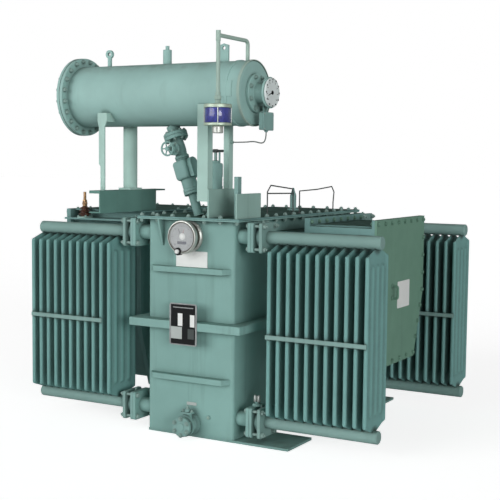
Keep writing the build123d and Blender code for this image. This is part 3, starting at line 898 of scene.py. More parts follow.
@dataclass
class Studio:
    """The camera at the photograph's angle, the floor and the lamps."""

    place: Vector = field(default_factory=lambda: metres(Vector((2866.0, -4464.9, 1365.7))))
    right: Vector = vector_field(0.86960466, 0.49364151, 0.01028591)
    up: Vector = vector_field(-0.04943048, 0.0663119, 0.99657381)
    back: Vector = vector_field(0.49126812, -0.86713366, 0.08206607)
    lens: float = 77.29
    sensor: float = 36.0
    to_key: Vector = vector_field(-0.42, -0.90, 0.10)
    to_fill: Vector = vector_field(0.80, -0.60, 0.08)
    key: float = 2.0
    fill: float = 1.55
    zenith: float = 0.08
    horizon: float = 0.42
    dome_top: float = 0.8
    key_spread: float = 50.0
    fill_spread: float = 28.0
    far: float = 200.0
    floor_half: float = 60.0
    floor_glow: float = 0.76

    def camera(self) -> None:
        """Sets up the camera."""
        data = bpy.data.cameras.new("view")
        data.lens = self.lens
        data.sensor_width = self.sensor
        data.clip_end = self.far
        made = bpy.data.objects.new("view", data)
        turn = Matrix((self.right, self.up, self.back)).transposed()
        made.matrix_world = Matrix.Translation(self.place) @ turn.to_4x4()
        bpy.context.scene.collection.objects.link(made)
        bpy.context.scene.camera = made

    def lamp(self, name: str, toward: Vector, strength: float, spread: float) -> None:
        """Adds a distant lamp.

        Args:
            name: its name.
            toward: direction to it.
            strength: its strength.
            spread: how wide it looks, in degrees.
        """
        data = bpy.data.lights.new(name, "SUN")
        data.energy = strength
        data.angle = math.radians(spread)
        made = bpy.data.objects.new(name, data)
        made.rotation_euler = toward.to_track_quat("Z", "Y").to_euler()
        bpy.context.scene.collection.objects.link(made)

    def surround(self) -> None:
        """Adds a white surround, softer overhead than at the horizon."""
        graph = Graph("surround", world=True)
        height = graph.height(graph.add("ShaderNodeTexCoord").outputs["Generated"])
        dome = graph.add("ShaderNodeMapRange", {"Value": height, "From Max": self.dome_top,
                                                "To Min": self.horizon, "To Max": self.zenith})
        bright = graph.add("ShaderNodeMapRange", {"Value": graph.seen(), "To Min": dome.outputs[0],
                                                  "To Max": 1.0})
        world = graph.finish(Color=(1.0, 1.0, 1.0), Strength=bright.outputs[0])
        bpy.context.scene.world = world

    def floor(self) -> None:
        """Lays the pale floor, which shows white and keeps the shadow."""
        half = self.floor_half
        mesh = bpy.data.meshes.new("floor")
        corners = [(x, y, 0.0) for x, y in rectangle(-half, -half, half, half)]
        mesh.from_pydata(corners, [], [(0, 1, 2, 3)])
        graph = Graph("pale_floor")
        cloud = graph.noise(3.0, 2.0)
        colour = graph.blend(cloud, (0.80, 0.80, 0.80), (0.83, 0.83, 0.83))
        graph.finish(Base_Color=colour, Roughness=0.9, Specular_IOR_Level=0.0)
        inputs = {"Color": (1.0, 1.0, 1.0), "Strength": graph.seen() * self.floor_glow}
        glow = graph.add("ShaderNodeEmission", inputs)
        total = graph.add("ShaderNodeAddShader", {0: graph.shader.outputs[0], 1: glow.outputs[0]})
        graph.feed(graph.output.inputs[0], total.outputs[0])
        mesh.materials.append(graph.owner)
        made = bpy.data.objects.new("floor", mesh)
        bpy.context.scene.collection.objects.link(made)

    def build(self) -> None:
        """Sets up view, light and floor."""
        bpy.context.scene.view_settings.view_transform = "Standard"
        self.camera()
        self.lamp("key", self.to_key, self.key, self.key_spread)
        self.lamp("fill", self.to_fill, self.fill, self.fill_spread)
        self.surround()
        self.floor()


# The transformer


@dataclass
class GaugeCable:
    """The thin signal cable from the junction box to the rear support leg."""

    width: float = 6.0
    length: float = 322.0
    route: tuple = ((357, 110, 1508), (357, 110, 1477), (333, 121, 1452),
                    (262, 162, 1466), (178, 226, 1462), (104, 226, 1462))

    def build(self) -> None:
        """Makes the cable on its route."""
        curve = bpy.data.curves.new("gauge_cable_run", "CURVE")
        curve.dimensions = "3D"
        curve.bevel_depth = self.width / 2 * MM
        curve.bevel_resolution = 5
        curve.resolution_u = 24
        curve.use_fill_caps = True
        spline = curve.splines.new("NURBS")
        spline.points.add(len(self.route) - 1)
        for point, place in zip(spline.points, self.route):
            point.co = (*metres(Vector(place)), 1.0)
        spline.order_u = 3
        spline.use_endpoint_u = True
        curve.materials.append(Finish.SHEATH.material())
        made = bpy.data.objects.new("gauge_cable_run", curve)
        bpy.context.scene.collection.objects.link(made)
        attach(made, "root")
        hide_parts("gauge_cable")
        LOG.info("gauge cable: %.0f mm", self.length)


@dataclass
class CarriedNodes:
    """The CAD nodes whose shape stays, each with its painted finish."""

    finishes: dict = field(default_factory=lambda: {
        # The cover finish paints shade on these nodes' level faces.
        Finish.COVER: ("tank_cover", "box_pockets", "hv_cable_box", "lv_upper_housing"),
        Finish.TANK: ("tank_body", "base_plates", "wall_stiffeners", "mid_band",
                      "tank_stubs"),
        Finish.LID: ("hv_box_cover",),
        Finish.BOX: ("lv_cable_box", "lv_box_cover"),
        Finish.BEAM: ("left_beam",),
        Finish.SHELL: ("conservator_shell", "conservator_end_cover", "shell_fittings"),
        Finish.BRACE: ("brace_plates",),
        Finish.FRAME: ("support_legs", "left_posts"),
        Finish.HEADER: ("radiator_headers", "radiator_braces"),
        Finish.PIPE: ("breather_pipe",),
    })

    def dress(self) -> None:
        """Gives each node its material."""
        for finish, nodes in self.finishes.items():
            for node in nodes:
                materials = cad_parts[node].data.materials
                for index in range(max(len(materials), 1)):
                    if materials:
                        materials[index] = finish.material()
                    else:
                        materials.append(finish.material())
                LOG.info("%s: %s", node, finish.name.lower())


@dataclass
class FinBank:
    """One bank of pressed fins: two sheets each, five flutes and shallow gable ends."""

    node: str
    count: int = 11
    flutes: int = 5
    flute_pitch: float = 56.5
    seam: float = 1.5
    crest: float = 10.5
    solid_half: float = 6.5
    half: float = 118.0
    shoulder: float = 391.0
    centre: float = 552.0
    pipe_centre: float = 450.0
    pipe_radius: float = 31.8
    saddle: float = 20.9
    gable_gap: float = 24.0
    gable_foot: float = 370.0
    flute_half: float = 27.0
    flute_fullness: float = 0.6
    flute_fade: tuple = (338.0, 358.0)
    edge: float = 0.4
    smooth_below: float = 62.0
    across: tuple = (118, 117.6, 116.4, 114.4, 111.5, 106, 100, 94, 88, 82, 76, 70, 65, 61, 56.5, 52, 48,
                     43, 37, 31, 26, 20.9, 16, 11, 5, 0)
    rows: tuple = (0, 170, 322, 332, 338, 343, 348, 353, 358, 364)
    shares: tuple = (0.0, 0.35, 0.62, 0.78, 0.88, 0.95, 0.985, 1.0)

    def end(self, across: float) -> float:
        """Gives how far up the fin reaches.

        Args:
            across: distance from the fin's middle line.

        Returns:
            The height above the fin's middle.
        """
        if abs(across) < self.saddle:
            return self.pipe_centre - math.sqrt(self.pipe_radius ** 2 - across ** 2)
        rise = self.pipe_centre - self.gable_gap - self.shoulder
        return self.shoulder + rise * (self.half - abs(across)) / (self.half - self.saddle)

    def swell(self, across: float, height: float) -> float:
        """Gives half the fin's thickness at one place.

        Args:
            across: distance from the fin's middle line.
            height: height above the middle of the fin.

        Returns:
            Half the thickness.
        """
        limit = self.flutes // 2
        full = self.crest
        crest = max(-limit, min(limit, round(across / self.flute_pitch)))
        offset = abs(across - crest * self.flute_pitch)
        wave = (0.5 + 0.5 * math.cos(math.pi * min(offset / self.flute_half, 1.0))) ** self.flute_fullness
        if abs(crest) == limit:
            past = max(0.0, (abs(across) - (self.half - full)) / full)
            wave *= math.sqrt(max(0.0, 1.0 - past * past))
            past = max(0.0, (height - (self.end(across) - full)) / full)
            wave *= math.sqrt(max(0.0, 1.0 - min(past, 1.0) ** 2))
        else:
            wave *= 1.0 - smooth_step(*self.flute_fade, height)
        return max(self.seam if abs(across) < self.half - 1.0 else self.edge, full * wave)

    def build(self) -> None:
        """Makes the bank in place of its node."""
        low, high = node_box(self.node)
        side = 1.0 if low.x > 0 else -1.0
        middle = (low.y + high.y) / 2
        nearest = (low.x if side > 0 else -high.x) + self.solid_half
        farthest = (high.x if side > 0 else -low.x) - self.solid_half
        pitch = (farthest - nearest) / (self.count - 1)
        offsets = [-u for u in self.across] + list(reversed(self.across[:-1]))
        levels = [lambda u, h=h: h for h in self.rows]
        foot = self.gable_foot
        levels += [lambda u, s=s: foot + (self.end(u) - foot) * s for s in self.shares]
        form = Form()
        for index in range(self.count):
            x = side * (nearest + index * pitch)
            rings = []
            for sign, order in ((-1.0, list(reversed(levels))), (1.0, levels[1:])):
                for level in order:
                    places = [(1.0, u, level(u)) for u in offsets]
                    places += [(-1.0, u, h) for _, u, h in reversed(places)]
                    rings.append([Vector((x + face * self.swell(u, h), middle + u, self.centre + sign * h))
                                  for face, u, h in places])
            form.shell(rings)
        form.piece(self.node + "_pressed", Finish.RADIATOR, "radiator_paint", (self.node,),
                   angle=self.smooth_below)


@dataclass
class InnerStraps:
    """The flat straps across the rear banks' edges that face the cable boxes."""

    reach: tuple = (457.0, 975.0)
    low: float = 530.0
    high: float = 550.0
    front: float = 4.6
    back: float = 0.2

    def build(self) -> None:
        """Makes one strap on each side."""
        form = Form()
        for name in ("rear_right_fins", "rear_left_fins"):
            low, high = node_box(name)
            side = 1.0 if low.x > 0 else -1.0
            near, far = sorted(side * x for x in self.reach)
            form.block((near, low.y - self.front, self.low), (far, low.y - self.back, self.high))
        form.piece("inner_straps", Finish.HEADER, "radiator_paint", soften=0.6)


@dataclass
class RadiatorValves:
    """The shut-off valve, bolts and gaskets between each tank stub and header."""

    heights: tuple = (102.0, 1002.0)
    half_square: float = 72.5
    disc: float = 55.0
    flange_start: float = 344.0
    disc_start: float = 360.0
    disc_end: float = 391.0
    header_end: float = 407.0
    corner: float = 10.0
    nip: float = 0.8
    bolt_inset: float = 17.0
    bolt_across: float = 21.0
    head: float = 10.0
    nut: float = 13.0
    shank: float = 7.5
    flange_thickness: float = 16.0
    gasket_radius: float = 68.0

    def build(self) -> None:
        """Makes the eight valves."""
        body, bolts, gaskets = Form(), Form(), Form()
        boxes = [node_box(name) for name in ("front_right_fins", "rear_right_fins")]
        for side in (1.0, -1.0):
            for low, high in boxes:
                for height in self.heights:
                    self.valve(body, bolts, gaskets, side, (low.y + high.y) / 2, height)
        body.piece("valve_bodies", Finish.FITTING, "fitting_paint", ("radiator_valves",), soften=1.2)
        bolts.piece("valve_bolts", Finish.SMALL, "fitting_paint")
        gaskets.piece("valve_gaskets", Finish.GASKET, "cable_sheath")

    def valve(self, body: Form, bolts: Form, gaskets: Form, side: float, middle: float,
              height: float) -> None:
        """Adds one valve with its four through bolts.

        Args:
            body: form of the castings.
            bolts: form of the bolts.
            gaskets: form of the gaskets.
            side: 1 right, -1 left.
            middle: the header's place along the tank.
            height: the header's height.
        """
        axis = X_AXIS * side
        foot = Vector((0.0, middle, height))
        square = rounded_outline(2 * self.half_square, 2 * self.half_square, self.corner)
        start = self.flange_start + self.nip
        body.prism(square, foot + axis * start, Y_AXIS * side, Z_AXIS, self.disc_start - start)
        a, b, r = self.disc_start, self.disc_end, self.disc
        profile = [(0, a), (r - 6, a), (r - 6, a + 3), (r - 3, a + 4), (r, a + 7), (r, b - 8),
                   (r - 3, b - 5), (r - 3, b - 1.2), (0, b - 1.2)]
        body.turned(foot, axis, profile, 56)
        stem = foot + axis * ((a + b) / 2)
        body.turned(stem, Z_AXIS, [(0, r - 8), (13, r - 8), (13, r + 7), (10, r + 9), (0, r + 9)], 24)
        bolts.turned(stem, Z_AXIS, [(0, r + 9), (6, r + 9), (6, r + 24), (4.5, r + 26), (0, r + 26)], 8)
        reach = self.half_square - self.bolt_inset
        for y, z in ((reach, reach), (-reach, reach), (-reach, -reach), (reach, -reach)):
            line = foot + Vector((0.0, y, z))
            bolts.bolt(line + axis * self.header_end, axis, self.bolt_across, self.nut, 7)
            back = line + axis * (self.flange_start - self.flange_thickness)
            bolts.bolt(back, -axis, self.bolt_across, self.head)
            bolts.turned(line, axis, rectangle(0, a - 1, self.shank, b + 1), 12)
        start = self.flange_start
        gaskets.turned(foot, axis, rectangle(0, start - 0.2, self.gasket_radius, start + 1.0), 40)
        gaskets.turned(foot, axis, rectangle(0, b - 1.4, r - 4, b + 0.2), 40)


@dataclass
class VentPlug:
    """The small vent on the near right lower valve."""

    place: Vector = vector_field(352.0, 61.0, 174.0)
    lobe_aside: float = 9.5
    lobe_foot: float = 20.0

    def build(self) -> None:
        """Makes the vent's foot and its upright two-lobed fitting."""
        foot = Form()
        profile = [(0, 0), (24, 0), (24, 9), (20, 13), (11, 14), (11, 22), (0, 22)]
        foot.turned(self.place, Z_AXIS, profile, 30)
        foot.piece("vent_foot", Finish.FITTING, "fitting_paint", soften=0.8)
        top = Form()
        profile = [(0, 0), (9, 0), (10, 3), (10, 24), (8.5, 30), (5, 34), (0, 35)]
        for x in (-self.lobe_aside, self.lobe_aside):
            top.turned(self.place + Vector((x, 0.0, self.lobe_foot)), Z_AXIS, profile, 20)
        top.piece("vent_fitting", Finish.BOLT, "stud_metal", soften=0.6)


@dataclass
class Dial:
    """The oil temperature dial on the end wall."""

    centre: Vector = vector_field(-7.0, 0.0, 994.0)
    hub: Vector = vector_field(2.0, 0.0, 3.0)
    knob: Vector = vector_field(-20.0, -76.0, -71.0)
    face: float = 71.6
    screw_circle: float = 74.0
    window_size: tuple = (52.0, 14.0)
    window_drop: float = 28.0
    divisions: int = 30
    first_mark: float = 225.0
    sweep: float = 270.0
    pointer_at: float = 118.0
    peak_at: float = 72.0

    def build(self) -> None:
        """Makes the case, the face with its marks, the glass and the knob."""
        self.case()
        self.scale()
        self.rings()
        self.marks()
        self.pane()

    def case(self) -> None:
        """Makes the drum with its foot's screws and the gland below it."""
        case = Form()
        profile = [(0, 0), (78, 0), (78, 12), (75, 16), (71, 18), (69, 21), (69, 48), (71, 52),
                   (79, 54), (82, 57), (82, 74), (80, 77), (73, 78), (70, 76), (68.5, 71), (0, 71)]
        case.turned(self.centre, -Y_AXIS, profile, 96)
        for a in turns(4, 0.5):
            spot = Vector((self.screw_circle * math.cos(a), -14.0, self.screw_circle * math.sin(a)))
            case.bolt(self.centre + spot, -Y_AXIS, 9, 4, 0, 1)
        case.turned(self.centre + Vector((0, -38, -63)), -Z_AXIS,
                    [(0, 0), (12, 0), (12, 14), (9, 16), (0, 16)], 20)
        case.piece("dial_drum", Finish.DIAL, "dial_metal", ("dial_case",), soften=0.8)

    def scale(self) -> None:
        """Makes the face with its window and hub."""
        face = Form().turned(self.centre, -Y_AXIS, rectangle(0, 70, 68, self.face), 72)
        face.piece("dial_scale_plate", Finish.FACE, "dial_metal")
        window = Form()
        spot = self.centre + Vector((0.0, -71.4, -self.window_drop))
        window.prism(rounded_outline(*self.window_size, 2), spot, X_AXIS, Z_AXIS, 1.4)
        window.piece("dial_window", Finish.WINDOW, "dial_metal")
        hub = Form()
        profile = [(0, 71), (17, 71), (16, 73), (9, 75), (0, 75.5)]
        hub.turned(self.centre + self.hub, -Y_AXIS, profile, 32)
        hub.piece("dial_hub", Finish.WHITE, "dial_metal")

    def rings(self) -> None:
        """Makes the dark rings at the face's rim and round the drum, painted shade in the bezel's groove and
        the drum's recessed waist.
        """
        ring = Form()
        profile = [(71.0, 76.0), (75.5, 76.0), (75.0, 78.8), (71.5, 78.8)]
        ring.turned(self.centre, -Y_AXIS, profile, 96, looped=True)
        ring.turned(self.centre, -Y_AXIS, rectangle(69, 20, 71.5, 50), 96, looped=True)
        ring.piece("dial_dark_rings", Finish.BAND, "dial_metal")

    def marks(self) -> None:
        """Makes the scale's marks and the two pointers."""
        marks = Form()
        for step in range(self.divisions + 1):
            a = math.radians(self.first_mark - self.sweep * step / self.divisions)
            inner, wide = (50.0, 1.5) if step % 5 == 0 else (54.0, 0.8)
            self.mark(marks, a, inner, 59.0, wide)
        self.mark(marks, math.radians(self.pointer_at), 18.0, 46.0, 2.2)
        marks.piece("dial_marks", Finish.BLACK, "cable_sheath")
        peak = Form()
        self.mark(peak, math.radians(self.peak_at), 18.0, 44.0, 1.4)
        peak.piece("dial_peak_pointer", Finish.RED, "cable_sheath")

    def pane(self) -> None:
        """Makes the glass, and the white knob on its dark seat."""
        glass = Form().turned(self.centre, -Y_AXIS, rectangle(0, 75, 69.5, 76.2), 72)
        glass.piece("dial_pane", Finish.PANE, "clear_glass", ("dial_glass",))
        knob = Form()
        spot = self.centre + self.knob
        knob.turned(spot, -Y_AXIS, [(0, 4), (11, 4), (11, 13), (9, 16), (4, 17), (0, 17)], 28)
        seat = Form().turned(spot, -Y_AXIS, [(0, -24), (19, -24), (19, 3), (17, 5), (0, 5)], 32)
        seat.piece("dial_knob_seat", Finish.BLACK, "dial_metal", soften=0.6)
        knob.piece("dial_knob", Finish.WHITE, "dial_metal", soften=0.6)

    def mark(self, form: Form, turn: float, inner: float, outer: float, wide: float) -> None:
        """Adds a thin bar that points out from the dial's centre.

        Args:
            form: where it goes.
            turn: its angle.
            inner: where it starts.
            outer: where it ends.
            wide: its width.
        """
        way = Vector((math.cos(turn), 0, math.sin(turn)))
        across = Vector((-math.sin(turn), 0, math.cos(turn)))
        foot = self.centre - Y_AXIS * (self.face + 0.6)
        form.prism(rectangle(inner, -wide / 2, outer, wide / 2), foot, way, across, 0.8)


@dataclass
class EndWallFittings:
    """The bare label, rating plate, tag, earthing boss and drain valve on the end wall."""

    label_place: Vector = vector_field(5.5, -0.2, 880.0)
    label_size: tuple = (183.0, 82.0)
    tag_place: Vector = vector_field(10.5, -0.2, 155.5)
    tag_size: tuple = (57.0, 15.0)
    sheet: float = 1.6
    plate_corner: float = 12.0
    plate_thickness: float = 2.6
    screw_inset: float = 7.0
    earth: Vector = vector_field(111.0, 0.0, 97.0)
    drain_foot: Vector = vector_field(10.0, 0.0, 56.0)
    drain_circle: float = 41.0

    def build(self) -> None:
        """Makes all of them."""
        self.label()
        self.rating_plate()
        self.tag()
        self.earth_point()
        self.drain()

    def label(self) -> None:
        """Makes the bare white plate under the dial."""
        form = Form()
        outline = rounded_outline(*self.label_size, 4)
        form.prism(outline, self.label_place, X_AXIS, Z_AXIS, self.sheet)
        form.piece("wall_label", Finish.WHITE, "plate_metal", soften=0.3)

    def rating_plate(self) -> None:
        """Makes the plate with its plain printed panels."""
        low, high = node_box("rating_plate")
        middle = Vector(((low.x + high.x) / 2, high.y, (low.z + high.z) / 2))
        wide, tall = high.x - low.x, high.z - low.z
        plate = Form()
        outline = rounded_outline(wide, tall, self.plate_corner)
        plate.prism(outline, middle, X_AXIS, Z_AXIS, self.plate_thickness)
        aside, up = wide / 2 - self.screw_inset, tall / 2 - self.screw_inset
        for x in (-aside, aside):
            for z in (-up, up):
                spot = middle + Vector((x, -2.4, z))
                plate.turned(spot, -Y_AXIS, [(0, 0), (3.6, 0), (3, 1.4), (0, 2)], 14)
        plate.piece("rating_plate_sheet", Finish.PLATE, "plate_metal", ("rating_plate",), soften=0.4)
        panels = {Finish.BLACK: ((-71, -98, 71, 98),),
                  Finish.WHITE: ((-30, -8, -3, 54), (41, -10, 67, 50)),
                  Finish.PALE: ((-70, -73, -6, -13),),
                  Finish.DARK: ((28, -70, 64, -20),)}
        for index, (finish, areas) in enumerate(panels.items()):
            form = Form()
            front = 3.0 + 0.3 * min(index, 1)
            for x0, z0, x1, z1 in areas:
                form.block(middle + Vector((x0, -front, z0)), middle + Vector((x1, -2.3, z1)))
            form.piece("rating_panel_" + finish.name.lower(), finish, "plate_metal")
        line = Form().block(middle + Vector((-58, -3.6, 81)), middle + Vector((60, -2.9, 85.5)))
        line.piece("rating_lines", Finish.PLATE, "plate_metal")

    def tag(self) -> None:
        """Makes the small tag low on the wall."""
        form = Form().prism(rounded_outline(*self.tag_size, 2), self.tag_place, X_AXIS, Z_AXIS, self.sheet)
        form.piece("wall_tag", Finish.PALE, "plate_metal", soften=0.3)

    def earth_point(self) -> None:
        """Makes the earthing boss with its bolt."""
        boss = Form().turned(self.earth, -Y_AXIS, [(0, 0), (10, 0), (10, 5), (8, 7), (0, 7)], 28)
        boss.piece("earth_boss", Finish.FITTING, "fitting_paint", soften=0.8)
        bolt = Form().bolt(self.earth - Y_AXIS * 7, -Y_AXIS, 10, 5, 2, 1)
        bolt.piece("earth_bolt", Finish.PIPE, "fitting_paint")

    def drain(self) -> None:
        """Makes the drain valve with its blank flange."""
        foot = self.drain_foot
        body = Form()
        profile = [(0, 0), (54, 0), (54, 14), (40, 17), (34, 24), (34, 52), (38, 56), (54, 58),
                   (54, 70), (0, 70)]
        body.turned(foot, -Y_AXIS, profile, 64)
        profile = [(0, 84), (50, 84), (50, 97), (47, 100), (20, 100), (18, 103), (0, 103)]
        body.turned(foot, -Y_AXIS, profile, 64)
        neck = foot + Vector((0, -38, 0))
        body.turned(neck, Z_AXIS, [(0, 20), (23, 20), (23, 56), (28, 58), (28, 58.5), (0, 58.5)], 32)
        body.prism(rounded_outline(62, 44, 9), neck + Z_AXIS * 58, X_AXIS, Y_AXIS, 8)
        body.turned(neck, Z_AXIS, [(0, 66), (15, 66), (13, 80), (0, 80)], 24)
        body.piece("drain_casting", Finish.FITTING, "fitting_paint", ("drain_valve",), soften=0.9)
        joint = Form().turned(foot, -Y_AXIS, rectangle(0, 69.5, 36, 84.5), 48)
        joint.piece("drain_gasket", Finish.GASKET, "cable_sheath")
        bolts = Form()
        for a in turns(6, 0.5):
            way = Vector((math.cos(a), 0, math.sin(a))) * self.drain_circle
            bolts.bolt(foot + way + Vector((0, -100, 0)), -Y_AXIS, 17, 8, 4)
            bolts.bolt(foot + way + Vector((0, -58, 0)), Y_AXIS, 17, 8)
            bolts.turned(foot + way, -Y_AXIS, rectangle(0, 69, 6, 85), 12)
        for x in (-24, 24):
            bolts.bolt(neck + Vector((x, 0, 66)), Z_AXIS, 13, 6, 3)
        profile = [(0, 80), (9, 80), (9, 86), (6.5, 86), (6.5, 95), (5, 96), (0, 96)]
        bolts.turned(neck, Z_AXIS, profile, 16)
        bolts.piece("drain_bolts", Finish.SMALL, "fitting_paint")


@dataclass
class CoverBolts:
    """The bolts through the tank's rim and its cover."""

    pitch: float = 98.0
    inset: float = 20.0
    across: float = 19.0
    head: float = 8.0
    nut: float = 9.0
    rim: float = 7.0
    dial_middle: float = -7.0
    dial_clear: float = 96.0
    lap: float = 12.0

    def build(self) -> None:
        """Makes a bolt head above and a nut below at each place."""
        low, high = node_box("tank_cover")
        outline = rectangle(low.x, low.y, high.x, high.y)
        form = Form()
        for x, y in spaced(inset(outline, self.inset), self.pitch):
            form.bolt(Vector((x, y, high.z)), Z_AXIS, self.across, self.head, 4)
            if y > 0 or abs(x - self.dial_middle) > self.dial_clear:
                form.bolt(Vector((x, y, low.z - self.rim)), -Z_AXIS, self.across, self.nut, 5)
        form.piece("cover_bolts", Finish.SMALL, "fitting_paint")
        gasket = Form()
        under, over = low.z - 0.6, low.z + 0.6
        lap = self.lap
        gasket.block((low.x + 4, low.y - 0.3, under), (high.x - 4, low.y + lap, over))
        gasket.block((high.x - lap, low.y + 4, under), (high.x + 0.3, high.y - 4, over))
        gasket.block((low.x - 0.3, low.y + 4, under), (low.x + lap, high.y - 4, over))
        gasket.block((low.x + 4, high.y - lap, under), (high.x - 4, high.y + 0.3, over))
        gasket.piece("cover_gasket", Finish.GASKET, "cable_sheath")


@dataclass
class HighVoltageBox:
    """The bolts, handle and bare plate of the high-voltage cable box."""

    face: float = 848.0
    lid: float = 836.0
    joint: float = 458.0
    flange: float = 28.0
    lid_back: float = 15.0
    bolt_inset: float = 20.0
    bolt_pitch: float = 92.0
    bolt_across: float = 17.0
    handle_along: float = 552.0
    handle_low: float = 688.0
    handle_high: float = 750.0
    handle_out: float = 30.0
    plate_place: tuple = (701.5, 696.5)
    plate_size: tuple = (163.0, 137.0)
    outline: tuple = ((338, 690), (453, 350), (867, 350), (985, 690), (985, 1088), (338, 1088))

    def build(self) -> None:
        """Makes the fasteners, the handle and the plate."""
        bolts = Form()
        for y, z in spaced(inset(list(self.outline), self.bolt_inset), self.bolt_pitch):
            bolts.bolt(Vector((self.face, y, z)), X_AXIS, self.bolt_across, 7, 2)
            bolts.bolt(Vector((self.lid - self.lid_back, y, z)), -X_AXIS, self.bolt_across, 8, 3)
            bolts.bolt(Vector((self.joint + self.flange, y, z)), X_AXIS, self.bolt_across, 7, 2)
        bolts.piece("hv_box_bolts", Finish.LID, "fitting_paint")
        handle = Form()
        x, y, low, high = self.face, self.handle_along, self.handle_low, self.handle_high
        out = x + self.handle_out
        path = [(x - 1, y, low), (out - 8, y, low), (out - 2, y, low + 2), (out, y, low + 8),
                (out, y, high - 8), (out - 2, y, high - 2), (out - 8, y, high), (x - 1, y, high)]
        handle.rod([Vector(p) for p in path], 6, 14)
        for z in (low, high):
            handle.turned(Vector((x, y, z)), X_AXIS, [(0, 0), (12, 0), (12, 3), (10, 5), (0, 5)], 20)
        handle.piece("hv_box_handle", Finish.LID, "box_paint")
        plate = Form()
        place = Vector((self.face - 0.2, *self.plate_place))
        plate.prism(rounded_outline(*self.plate_size, 6), place, Y_AXIS, Z_AXIS, 2)
        plate.piece("hv_box_bare_plate", Finish.WHITE, "plate_metal", soften=0.3)


@dataclass
class LowVoltageBox:
    """The fasteners of the low-voltage cable box, and the neutral bushing on its ledge."""

    face: float = -960.0
    bolt_inset: float = 18.0
    bolt_pitch: float = 96.0
    roof_inset: float = 13.0
    roof_pitch: float = 110.0
    roof_open: tuple = (-560.0, 500.0)
    outline: tuple = ((967, 140), (335, 140), (220, 480), (220, 1096), (1085, 1096), (1085, 480))
    bushing: Vector = vector_field(-838.0, 225.0, 1050.0)

    def build(self) -> None:
        """Makes the fasteners and the bushing."""
        bolts = Form()
        flat = [(-y, z) for y, z in self.outline]
        for y, z in spaced(inset(flat, self.bolt_inset), self.bolt_pitch):
            bolts.bolt(Vector((self.face, -y, z)), -X_AXIS, 19, 8, 3)
        low, high = node_box("lv_upper_housing")
        roof = rectangle(low.x, low.y, high.x, high.y)
        for x, y in spaced(inset(roof, self.roof_inset), self.roof_pitch):
            if x < self.roof_open[0] or y > self.roof_open[1]:
                bolts.bolt(Vector((x, y, high.z)), Z_AXIS, 13, 6, 2, 1.5)
        bolts.piece("lv_box_bolts", Finish.SMALL, "fitting_paint")
        self.porcelain()
        self.clamp()
        self.stud()

    def porcelain(self) -> None:
        """Makes the brown bushing with its sheds."""
        low, high = node_box("neutral_bushing")
        reach = (high.x - low.x) / 2
        tall = high.z - low.z
        rows = [(0.72, 0.0), (0.72, 0.10), (0.62, 0.14), (0.62, 0.20), (0.98, 0.27), (1.0, 0.31),
                (0.93, 0.35), (0.60, 0.40), (0.60, 0.46), (0.90, 0.53), (0.92, 0.57), (0.85, 0.61),
                (0.52, 0.66), (0.52, 0.71), (0.78, 0.78), (0.79, 0.82), (0.72, 0.86), (0.42, 0.92),
                (0.36, 1.0), (0.0, 1.0)]
        body = Form().turned(self.bushing, Z_AXIS, [(0, 0)] + [(r * reach, h * tall) for r, h in rows], 56)
        body.piece("neutral_porcelain", Finish.CERAMIC, "porcelain", ("neutral_bushing",), soften=0.8)

    def clamp(self) -> None:
        """Makes the ring that holds the bushing down, with its bolts."""
        low, high = node_box("neutral_bushing")
        reach = (high.x - low.x) / 2
        clamp = Form()
        clamp.turned(self.bushing, Z_AXIS, [(0.74 * reach, 0), (reach + 6, 0), (reach + 6, 6),
                                           (0.74 * reach, 8)], 40, looped=True)
        for a in turns(4, 0.5):
            spot = self.bushing + Vector((math.cos(a), math.sin(a), 0)) * reach + Z_AXIS * 6
            clamp.bolt(spot, Z_AXIS, 10, 5, 2, 1)
        clamp.piece("neutral_clamp", Finish.FRAME, "frame_paint")

    def stud(self) -> None:
        """Makes the bushing's stud with its washer and nuts."""
        low, high = node_box("bushing_stud")
        foot = Vector((self.bushing.x, self.bushing.y, low.z))
        tip = high.z - low.z
        stud = Form()
        profile = [(0, 0), (13, 0), (13, 8), (8, 8), (8, tip - 1), (7, tip), (0, tip)]
        stud.turned(foot, Z_AXIS, profile, 24)
        stud.turned(foot + Z_AXIS * 9, Z_AXIS, rectangle(0, 0, 16, 3), 24)
        stud.turned(foot + Z_AXIS * 12, Z_AXIS, [(0, 0), (14, 0), (14, 9), (12.5, 11), (0, 11)], 6)
        stud.turned(foot + Z_AXIS * 24, Z_AXIS, [(0, 0), (14, 0), (14, 7), (12.5, 9), (0, 9)], 6, twist=20)
        stud.piece("neutral_stud", Finish.STUD, "stud_metal", ("bushing_stud",), soften=0.4)


